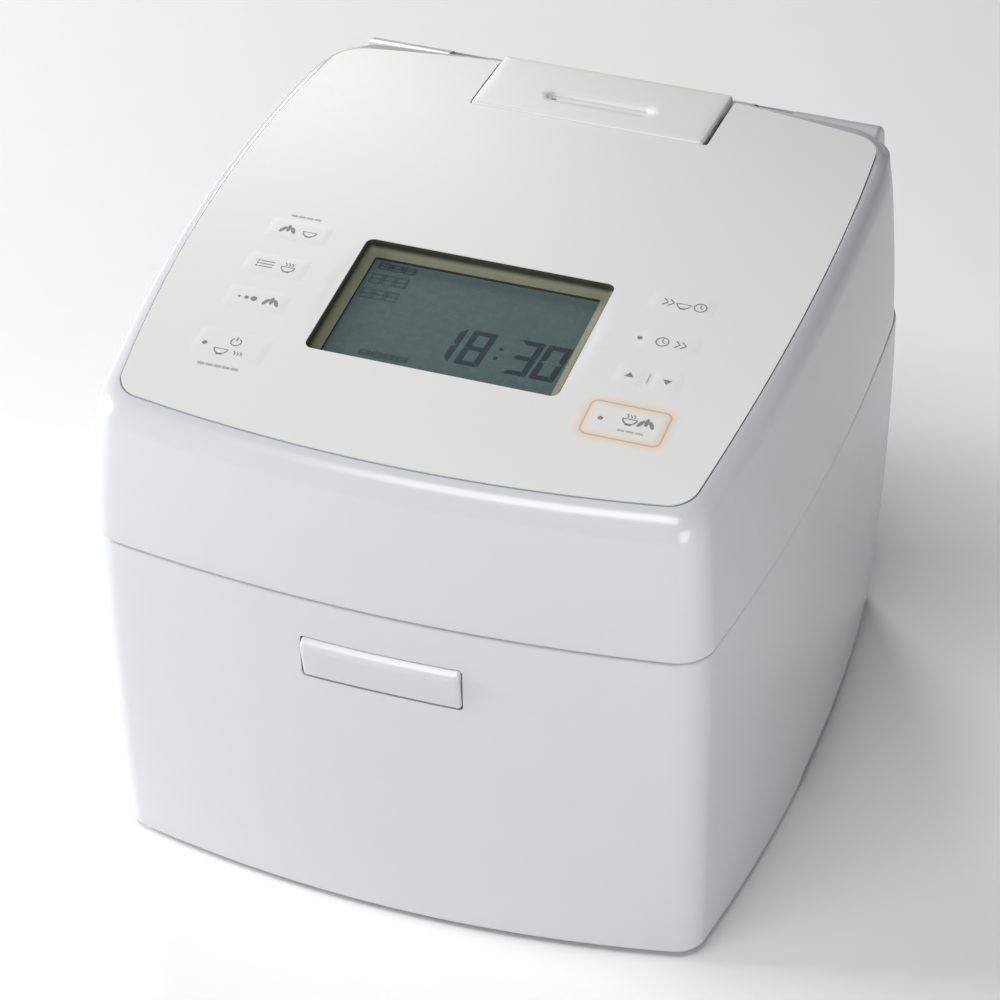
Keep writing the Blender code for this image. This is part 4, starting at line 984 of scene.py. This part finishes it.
def key_loop(node):
    low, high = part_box(node)
    half_x, half_y, _ = node_halves(node)
    return rounded_rectangle((low.x + high.x) / 2, (low.y + high.y) / 2, half_x, half_y, KEY_CORNER)


WINDOW_LOW, WINDOW_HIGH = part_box("display_window")
WINDOW_X, WINDOW_Y = (WINDOW_LOW.x + WINDOW_HIGH.x) / 2, (WINDOW_LOW.y + WINDOW_HIGH.y) / 2
WINDOW_HALF = node_halves("display_window")


def window_loop(grow=0.0, radius=0.003):
    return rounded_rectangle(WINDOW_X, WINDOW_Y, WINDOW_HALF[0] + grow, WINDOW_HALF[1] + grow,
                             max(radius + grow, 0.0006), 9)


def lid_panel():
    """Satin film over the top of the lid, open at the display, the keys and the steam cap."""
    outline = [tuple(p) for p in plan(PANEL)]
    holes = [window_loop(GAP)] + [key_loop(name) for name in KEY_NAMES]
    panel = sharp_border(merged("panel_film", [sheet(outline, holes, panel_surface, 0.0048)]))
    thicken(panel, PANEL_THICK)
    apply_modifiers(panel)
    put(cut(panel, prism("film_notch", notch_outline(), 0.200, 0.250)), "lid", "panel_satin", "lid_panel")


def key_films():
    """The film over each key: flush with the panel at its rim and raised a little towards its middle."""
    rise, ramp = 0.00010, 0.0028
    for name in KEY_NAMES:
        loop = key_loop(name)
        centre = node_centre(name)

        def height(x, y):
            share = min(edge_distance(np.array([(x, y)]), loop)[0] / ramp, 1.0)
            return panel_z(y) + rise * share * share * (3 - 2 * share)

        film = sharp_border(merged(name + "_film", [sheet(loop, [], height, 0.0011)]))
        film.data.materials.append(FINISHES["panel_satin"].material)
        start = Vector((centre.x, centre.y, panel_z(centre.y)))
        start + panel_normal(centre.y) * rise
        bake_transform(film)
        thicken(film, 0.0004)
        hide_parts(name)


# ---------------------------------------------------------------- printed marks
def stroke(points, width, closed=False):
    """Flat pieces that draw a line of some width through 2D points."""
    points = [Vector(p) for p in points]
    count = len(points)
    sides = []
    for i, here in enumerate(points):
        before = points[i - 1] if closed or i else here
        after = points[(i + 1) % count] if closed or i < count - 1 else here
        along = (after - here).normalized() + (here - before).normalized()
        across = Vector((-along.y, along.x)).normalized() * width / 2
        sides.append((here + across, here - across))
    pairs = zip(sides, sides[1:] + sides[:1]) if closed else zip(sides, sides[1:])
    return [[a, b, d, c] for (a, b), (c, d) in pairs]


def arc_points(x, y, radius, start, end, steps=20):
    turns = [math.radians(start + (end - start) * k / steps) for k in range(steps + 1)]
    return [(x + radius * math.cos(a), y + radius * math.sin(a)) for a in turns]


def ellipse(x, y, half_x, half_y, lean=0.0, steps=24):
    points = []
    for k in range(steps):
        angle = 2 * math.pi * k / steps
        a, b = half_x * math.cos(angle), half_y * math.sin(angle)
        points.append((x + a * math.cos(lean) - b * math.sin(lean),
                       y + a * math.sin(lean) + b * math.cos(lean)))
    return points


def bar(x, y, half_x, half_y):
    left, right, low, high = x - half_x, x + half_x, y - half_y, y + half_y
    return [(left, low), (right, low), (right, high), (left, high)]


def printed(name, polygons, place, body, slot, finish, thick=0.00004):
    """Thin printed polygons; place turns 2D points into points on the surface."""
    verts, faces = [], []
    for polygon in polygons:
        faces.append(tuple(len(verts) + i for i in range(len(polygon))))
        verts += [place(p[0], p[1]) for p in polygon]
    mesh = bpy.data.meshes.new(name)
    mesh.from_pydata(verts, [], faces)
    bm = bmesh.new()
    bm.from_mesh(mesh)
    upside_down = [face for face in bm.faces if face.normal.z < 0]
    bmesh.ops.reverse_faces(bm, faces=upside_down)
    bm.to_mesh(mesh)
    bm.free()
    solid = thicken(placed(name, mesh), thick)
    solid.modifiers["Solidify"].offset = 1
    return put(apply_modifiers(solid), body, slot, finish=finish)


def grains(x, y):
    return [ellipse(x + dx, y + dy, 0.0021, 0.0008, lean) for dx, dy, lean in
            ((-0.0021, -0.0004, 1.1), (0.0, 0.0006, 1.5708), (0.0021, -0.0004, 2.04))]


def bowl(x, y, width=0.0005):
    body = arc_points(x, y + 0.0004, 0.0027, 180, 360)
    return stroke(body, width, closed=True) + [bar(x, y - 0.0026, 0.0012, width / 2)]


def steam_lines(x, y):
    waves = [[(x + dx + 0.0004 * math.sin(k), y + 0.0007 * k * 0.55) for k in range(6)]
             for dx in (-0.0013, 0.0, 0.0013)]
    return [piece for points in waves for piece in stroke(points, 0.0004)]


def clock(x, y, radius=0.0024):
    rim = stroke(arc_points(x, y, radius, 0, 360)[:-1], 0.0005, closed=True)
    return rim + stroke([(x, y + radius * 0.65), (x, y), (x + radius * 0.5, y - radius * 0.25)], 0.00045)


def chevrons(x, y):
    """Two arrow heads that point along +x."""
    pieces = []
    for shift in (-0.0012, 0.0012):
        points = [(-0.0009 + shift, 0.0019), (0.0009 + shift, 0.0), (-0.0009 + shift, -0.0019)]
        pieces += stroke([(x + a, y + b) for a, b in points], 0.0006)
    return pieces


def arrow(x, y, turn):
    return [[(x - 0.0018, y - turn * 0.0011), (x + 0.0018, y - turn * 0.0011), (x, y + turn * 0.0015)]]


def power_sign(x, y):
    return stroke(arc_points(x, y, 0.0020, 125, 415), 0.0005) + [bar(x, y + 0.0016, 0.00025, 0.0011)]


def list_sign(x, y):
    pieces = []
    for k in (-1, 0, 1):
        pieces.append(ellipse(x - 0.0030, y + 0.0016 * k, 0.00045, 0.00045))
        pieces.append(bar(x + 0.0008, y + 0.0016 * k, 0.0028, 0.00025))
    return pieces


def dots(x, y):
    sizes = [0.0006 + 0.00035 * (k + 1) for k in (-1, 0, 1)]
    return [ellipse(x + 0.0030 * k, y, size, size) for k, size in zip((-1, 0, 1), sizes)]


def dashes(x, y, pitch, numbers, half_x, half_y):
    return [bar(x + pitch * k, y, half_x, half_y) for k in numbers]


def legends():
    """Plain pictograms where the keys are marked, small lamps, and one divider line."""
    level = 0.00012

    def on_panel(x, y):
        return (x, y, panel_z(y) + level)

    def at(name, shift_x=0.0, shift_y=0.0):
        x, y, _ = node_centre(name)
        return x + shift_x, y + shift_y

    def sign(name, *marks):
        """Each mark is a pictogram, its place from the key's centre, and what else it takes."""
        polygons = []
        for drawing, shift_x, shift_y, *rest in marks:
            polygons += drawing(*at(name, shift_x, shift_y), *rest)
        printed(name + "_sign", polygons, on_panel, name, "panel_satin", LEGEND_INK)

    sign("key_rice", (grains, -0.0045, 0.0), (bowl, 0.0045, 0.0))
    sign("key_mode", (list_sign, -0.0045, 0.0), (bowl, 0.0050, 0.0), (steam_lines, 0.0050, 0.0010))
    sign("key_texture", (dots, -0.0042, 0.0), (grains, 0.0060, 0.0))
    sign("key_off", (power_sign, 0.0010, 0.0022), (bowl, -0.0030, -0.0030), (steam_lines, 0.0040, -0.0045))
    sign("key_quick", (chevrons, -0.0055, 0.0), (bowl, 0.0005, 0.0), (clock, 0.0070, 0.0))
    sign("key_timer", (clock, -0.0030, 0.0), (chevrons, 0.0042, 0.0))
    sign("key_hour", (arrow, 0.0, 0.0, 1))
    sign("key_minute", (arrow, 0.0, 0.0, -1))
    sign("key_start", (bowl, 0.0010, 0.0018, 0.0006), (steam_lines, 0.0010, 0.0028), (grains, 0.0075, 0.0015))

    note = dashes(*at("key_start", 0.0030, -0.0042), 0.0036, (-1, 0, 1), 0.0014, 0.00045)
    printed("key_start_note", note, on_panel, "key_start", "panel_satin", PALE_INK)
    middle = (at("key_hour")[0] + at("key_minute")[0]) / 2
    for name, polygons in (
        ("rice_note", dashes(*at("key_rice", -0.0055, 0.0088), 0.0032, range(4), 0.0012, 0.00045)),
        ("keep_warm_note", dashes(*at("key_off", -0.0075, -0.0118), 0.0034, range(5), 0.0013, 0.00055)),
        ("divider", [bar(middle, at("key_hour")[1], 0.00015, 0.0030)]),
    ):
        printed(name, polygons, on_panel, "lid", "panel_satin", PALE_INK)
    for name, key, shift_x, shift_y in (("lamp_timer", "key_timer", -0.0119, 0.0),
                                        ("lamp_start", "key_start", -0.0098, 0.0),
                                        ("lamp_off", "key_off", -0.0105, -0.0010)):
        lamp = [ellipse(*at(key, shift_x, shift_y), 0.0010, 0.0010)]
        printed(name, lamp, on_panel, key, "panel_satin", LEGEND_INK)


# ---------------------------------------------------------------- display
def display():
    """Clear window, coved frame, display glass and its lit and unlit fields."""
    edge, thick = 0.0002, 0.0005
    top = sheet(window_loop(-edge), [], panel_surface, 0.006)
    rim = under_surface(panel_surface, ((-edge, 0.0), (0.0, edge), (0.0, thick)), window_loop)
    under = sheet(window_loop(), [], lambda x, y: panel_z(y) - thick, 0.006)
    put(merged("window", [top, band(rim), under]), "lid", "clear_window", "display_window")

    cove = [(0.0, 0.0006), (-0.0001, 0.0006), (-0.0002, 0.0018), (-0.0004, 0.0026), (-0.0008, 0.0032),
            (-0.0014, 0.0037), (-0.0022, 0.0041), (-0.0032, 0.0044), (-0.0043, 0.0046), (-0.0044, 0.0048),
            (-0.0044, 0.0056), (0.0028, 0.0056), (0.0028, 0.0033), (0.0, 0.0033)]
    rings = under_surface(panel_surface, cove, window_loop)
    put(loft("display_cove", rings, 40, wrap=True), "lid", "display_frame", "display_frame")
    # painted shade: a near-black ring down in the gap round the window stands in for the shadow there
    gap_shade_profile = [(GAP - 0.00005, 0.0003), (0.00004, 0.0003), (0.00004, 0.0016), (GAP - 0.00005, 0.0016)]
    rings = under_surface(panel_surface, gap_shade_profile, window_loop)
    put(loft("window_seal", rings, wrap=True), "lid", "rubber", finish=SHADOW_BLACK)

    normal = panel_normal(WINDOW_Y)
    along = Vector((0, normal.z, -normal.y))
    origin = Vector((WINDOW_X, WINDOW_Y, panel_z(WINDOW_Y))) - normal * 0.0060
    half_x, half_y = WINDOW_HALF[0] - 0.001, WINDOW_HALF[1] - 0.001

    def on_glass(x, v, depth=0.0):
        return tuple(origin + Vector((1, 0, 0)) * x + along * v - normal * depth)

    loop = rounded_rectangle(0, 0, half_x, half_y, 0.0012)
    rings = [[on_glass(x, v, depth) for x, v in loop] for depth in (0.0, 0.0009)]
    put(loft("lcd_panel", rings, cap_first=True, cap_last=True), "lid", "lcd_glass", "lcd_module")

    def at(x, v):
        return on_glass(x, v, -0.00002)

    foot, tall, wide, line = -0.0207, 0.0200, 0.0096, 0.0024
    lean = math.tan(math.radians(4.5))
    places = {"1": 0.0026 - wide, "8": 0.0050, "3": 0.0240, "0": 0.0350}
    polygons = []
    for digit, left in places.items():
        for polygon in digit_segments(digit, wide, tall, line, 0.00018):
            polygons.append([(left + a + (b - tall / 2) * lean, foot + b) for a, b in polygon])
    for rise in (0.0125, 0.0070):
        polygons.append(ellipse(0.0188 + (rise - tall / 2) * lean, foot + rise, 0.0009, 0.0009))
    printed("lcd_time", polygons, at, "lid", "lcd_glass", LCD_INK)

    faint = []
    for row, (low, high) in enumerate(((0.0235, 0.0268), (0.0150, 0.0202), (0.0060, 0.0112))):
        for k in range(3):
            x = -0.0410 + 0.0052 * k - 0.0006 * row
            faint += segment_box(x, (low + high) / 2, 0.0021, (high - low) / 2)
    for k in range(4):
        faint += segment_box(-0.0300 + 0.0050 * k, -0.0245, 0.0019, 0.0012)
    printed("lcd_fields", faint, at, "lid", "lcd_glass", LCD_GHOST)


def segment_box(x, v, half_x, half_v):
    """An unlit field of the display: a framed block split by a line."""
    line = 0.00045
    return [bar(x, v + half_v, half_x, line), bar(x, v, half_x, line), bar(x, v - half_v, half_x, line),
            bar(x - half_x, v, line, half_v), bar(x + half_x, v, line, half_v)]


def digit_segments(digit, w, h, s, g):
    """Polygons of a seven-segment digit: cell width and height, stroke and gap."""
    m = h / 2
    parts = {
        "top": [(g, h), (w - g, h), (w - s - g, h - s), (s + g, h - s)],
        "bottom": [(g, 0), (s + g, s), (w - s - g, s), (w - g, 0)],
        "middle": [(g + s * 0.3, m), (s * 0.8 + g, m + s / 2), (w - s * 0.8 - g, m + s / 2),
                   (w - s * 0.3 - g, m), (w - s * 0.8 - g, m - s / 2), (s * 0.8 + g, m - s / 2)],
        "left_high": [(0, h - g), (0, m + g), (s * 0.35, m + g), (s, m + s / 2 + g), (s, h - s - g)],
        "left_low": [(0, g), (s, s + g), (s, m - s / 2 - g), (s * 0.35, m - g), (0, m - g)],
    }
    for side in ("high", "low"):
        parts["right_" + side] = [(w - a, b) for a, b in reversed(parts["left_" + side])]
    lit = {
        "0": "top bottom left_high left_low right_high right_low",
        "1": "right_high right_low",
        "3": "top bottom middle right_high right_low",
        "8": "top bottom middle left_high left_low right_high right_low",
    }
    return [parts[name] for name in lit[digit].split()]


# ---------------------------------------------------------------- steam cap
def steam_cap():
    """Crowned cap with a rounded edge, a shallow steam recess, a painted shadow strip in the gap at its left end
    and a front lip.
    """
    x, y = 0.0, (CAP_FRONT + CAP_REAR) / 2
    half_x, half_y = CAP_HALF_WIDTH, (CAP_REAR - CAP_FRONT) / 2
    edge, corner = 0.0012, 0.0016

    def surface(px, py):
        return panel_z(py) + CAP_LIFT

    def loop(inset):
        return rounded_rectangle(x, y, half_x - inset, half_y - inset, max(corner - inset, 0.0003), 8)

    slot_half, slot_width, slot_y = CAP_SLOT

    def slot_loop(grow):
        width = slot_width + grow
        return rounded_rectangle(0, slot_y, slot_half + grow, width, width - 0.00005, 10)

    turn = [(edge * across, edge * along) for across, along in quarter_turn(6)]
    skirt = under_surface(surface, turn + [(0.0, CAP_THICK)], loop)
    steps = [(0.0005, 0.0), (0.0002, 0.0001), (0.0, 0.0005), (-0.0002, CAP_SLOT_DEPTH - 0.0003),
             (-0.0006, CAP_SLOT_DEPTH)]
    recess = under_surface(surface, steps, slot_loop)
    vent = circle(slot_width - slot_half, slot_y - 0.0008, 0.0012, 24)
    well = under_surface(surface, ((0.0, CAP_SLOT_DEPTH), (0.0, CAP_THICK)), lambda grow: vent)
    parts = [
        sheet(loop(edge), [slot_loop(0.0005)], surface, 0.0035),
        band(skirt),
        band(recess),
        sheet(slot_loop(-0.0006), [vent], lambda a, b: surface(a, b) - CAP_SLOT_DEPTH, 0.0015),
        band(well),
        sheet(loop(0.0), [vent], lambda a, b: surface(a, b) - CAP_THICK, 0.0060),
    ]
    put(merged("cap_top", parts), "steam_cap", "panel_satin", "steam_cap_top")
    # painted shade: a near-black strip down in the gap at the cap's left end stands in for the shadow there
    gap_x = -half_x - GAP / 2
    left, right, tall = gap_x - 0.00013, gap_x + 0.00010, 0.0012
    rings = []
    for b in np.linspace(CAP_FRONT + 0.001, 0.1160, 12):
        top = panel_z(b) - 0.0002
        rings.append([(left, b, top), (right, b, top), (right, b, top - tall), (left, b, top - tall)])
    gap_shadow_strip = loft("cap_gap_left", rings, cap_first=True, cap_last=True)
    put(gap_shadow_strip, "lid", "rubber", finish=SHADOW_BLACK)
    lip_front, lip_rear = CAP_FRONT - GAP + 0.0001, CAP_FRONT + 0.0020
    profile = [(lip_front, 0.0006), (lip_rear, 0.0006), (lip_rear, 0.0018), (lip_front, 0.0018)]
    rings = []
    for a in (-half_x + 0.001, half_x - 0.001):
        rings.append([(a, b, panel_z(b) - drop) for b, drop in fillet(profile, 0.0003)])
    put(loft("cap_lip", rings, cap_first=True, cap_last=True), "steam_cap", "panel_satin")


# ---------------------------------------------------------------- underside of the lid
def lid_underside():
    low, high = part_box("lid_inner_cover")
    outline = [tuple(p) for p in plan(shrink(lid_outline(0.03, LID_REAR, 0.0), LID_WALL + 0.0008))]
    vent = circle(0, 0.078, 0.006, 40)
    put(plate("lid_lining", [outline, vent], low.z, high.z, 0.0005), "lid", "grey_plastic", "lid_inner_cover")

    low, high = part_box("inner_lid")
    radius, thick = (high.x - low.x) / 2, high.z - low.z
    upper, lower = [], []
    for k in range(61):
        r = radius * (1 - k / 60)
        wave = 0.0005 * (0.5 - 0.5 * math.cos(2 * math.pi * r / 0.030)) if 0.012 < r < 0.090 else 0.0
        upper.append((r, thick))
        lower.append((r, wave * 0.8))
    profile = [(0.0, thick)] + list(reversed(upper))[1:] + lower
    disc = turned("steam_plate", profile, (0, POT_Y, low.z), 120)
    cutters = [prism("vent", vent, low.z - 0.01, high.z + 0.01)]
    for k in range(8):
        angle = 2 * math.pi * k / 8
        hole = circle(0.030 * math.cos(angle), POT_Y + 0.030 * math.sin(angle), 0.0022, 20)
        cutters.append(prism("steam_hole", hole, low.z - 0.01, high.z + 0.01))
    put(cut(disc, *cutters), "lid", "steel", "inner_lid")

    low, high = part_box("inner_lid_gasket")
    outer, tall = (high.x - low.x) / 2, high.z - low.z
    inner = outer - 0.010
    lips = fillet([(inner, tall), (outer, tall), (outer, tall - 0.0015), (outer - 0.0016, tall - 0.0024),
                   (outer - 0.0012, 0.0004), (outer - 0.0022, 0.0), (outer - 0.0050, 0.0024),
                   (inner + 0.0024, 0.0024), (inner + 0.0006, 0.0), (inner, 0.0010)], 0.0006)
    put(turned("lid_seal", lips, (0, POT_Y, low.z), 120, ring=True), "lid", "rubber", "inner_lid_gasket")


# ---------------------------------------------------------------- kept CAD nodes
def dress_kept_nodes():
    """Give every CAD node its finish, and the shown ones welded and rounded edges."""
    for part in frame["record"]["subparts"]:
        node = frame["nodes"][part["node"]]
        node.data.materials.clear()
        node.data.materials.append(FINISHES[part["material_slot"]].material)
        if node.hide_render:
            continue
        for polygon in node.data.polygons:
            polygon.use_smooth = True
        weld = node.modifiers.new("Weld", "WELD")
        weld.merge_threshold = 0.00001
        edge = node.modifiers.new("Bevel", "BEVEL")
        edge.width = 0.00025
        edge.segments = 2
        edge.limit_method = "ANGLE"
        edge.angle_limit = math.radians(40)
        edge.harden_normals = True


# ---------------------------------------------------------------- stage
CAMERA_PLACE = (0.456589, -1.20719, 1.060713)
CAMERA_LENS = 143.377                            # millimetres, on a 36 mm sensor
CAMERA_YAW, CAMERA_PITCH, CAMERA_ROLL = -0.365, 0.637, -0.017


def camera():
    data = bpy.data.cameras.new("Camera")
    data.sensor_width = 36.0
    data.lens = CAMERA_LENS
    data.clip_start, data.clip_end = 0.05, 60.0
    obj = placed("Camera", data)
    yaw, pitch, roll = CAMERA_YAW, CAMERA_PITCH, CAMERA_ROLL
    forward = Vector((math.sin(yaw) * math.cos(pitch), math.cos(yaw) * math.cos(pitch), -math.sin(pitch)))
    level = forward.cross(Vector((0, 0, 1))).normalized()
    up = level.cross(forward)
    right = level * math.cos(roll) + up * math.sin(roll)
    up = up * math.cos(roll) - level * math.sin(roll)
    turn = Matrix((right, up, -forward)).transposed()
    obj.matrix_world = Matrix.Translation(CAMERA_PLACE) @ turn.to_4x4()
    bpy.context.scene.camera = obj


def soft_light(name, place, target, size, power):
    data = bpy.data.lights.new(name, "AREA")
    data.shape = "RECTANGLE"
    data.size, data.size_y = size
    data.energy = power
    obj = placed(name, data)
    obj.location = place
    obj.rotation_euler = (Vector(target) - Vector(place)).to_track_quat("-Z", "Y").to_euler()


def studio():
    world = bpy.data.worlds.new("studio")
    world.use_nodes = True
    world.node_tree.nodes["Background"].inputs["Color"].default_value = (1.0, 1.0, 1.0, 1.0)
    world.node_tree.nodes["Background"].inputs["Strength"].default_value = 0.02
    bpy.context.scene.world = world
    bpy.context.scene.view_settings.view_transform = "Standard"
    soft_light("top_front", (-0.1, -0.9, 2.0), (0, 0, 0.2), (1.2, 0.8), 21.5)
    soft_light("left", (-1.7, -0.35, 0.6), (0, 0, 0.12), (0.7, 1.0), 34.0)
    soft_light("right_near", (0.62, -0.75, 0.38), (0.1, -0.1, 0.12), (0.35, 0.5), 3.1)
    soft_light("rear_left", (-1.0, 1.6, 1.15), (0, 0, 0.2), (0.7, 0.6), 13.5)

    bm = bmesh.new()
    bmesh.ops.create_circle(bm, cap_ends=True, segments=96, radius=12.0)
    mesh = bpy.data.meshes.new("floor")
    bm.to_mesh(mesh)
    bm.free()
    floor = placed("floor", mesh)
    paper = moulded("floor_paper", (0.90, 0.90, 0.90), 0.9, 60.0, 0.00001, 0.004, Specular_IOR_Level=0.1)
    mesh.materials.append(paper.material)


camera()
studio()
body_shell()
latch_button()
hinge_housing()
feet_and_outlet()
cooking_space()
sensor_spring()
lid_shell()
lid_panel()
key_films()
legends()
display()
steam_cap()
lid_underside()
dress_kept_nodes()
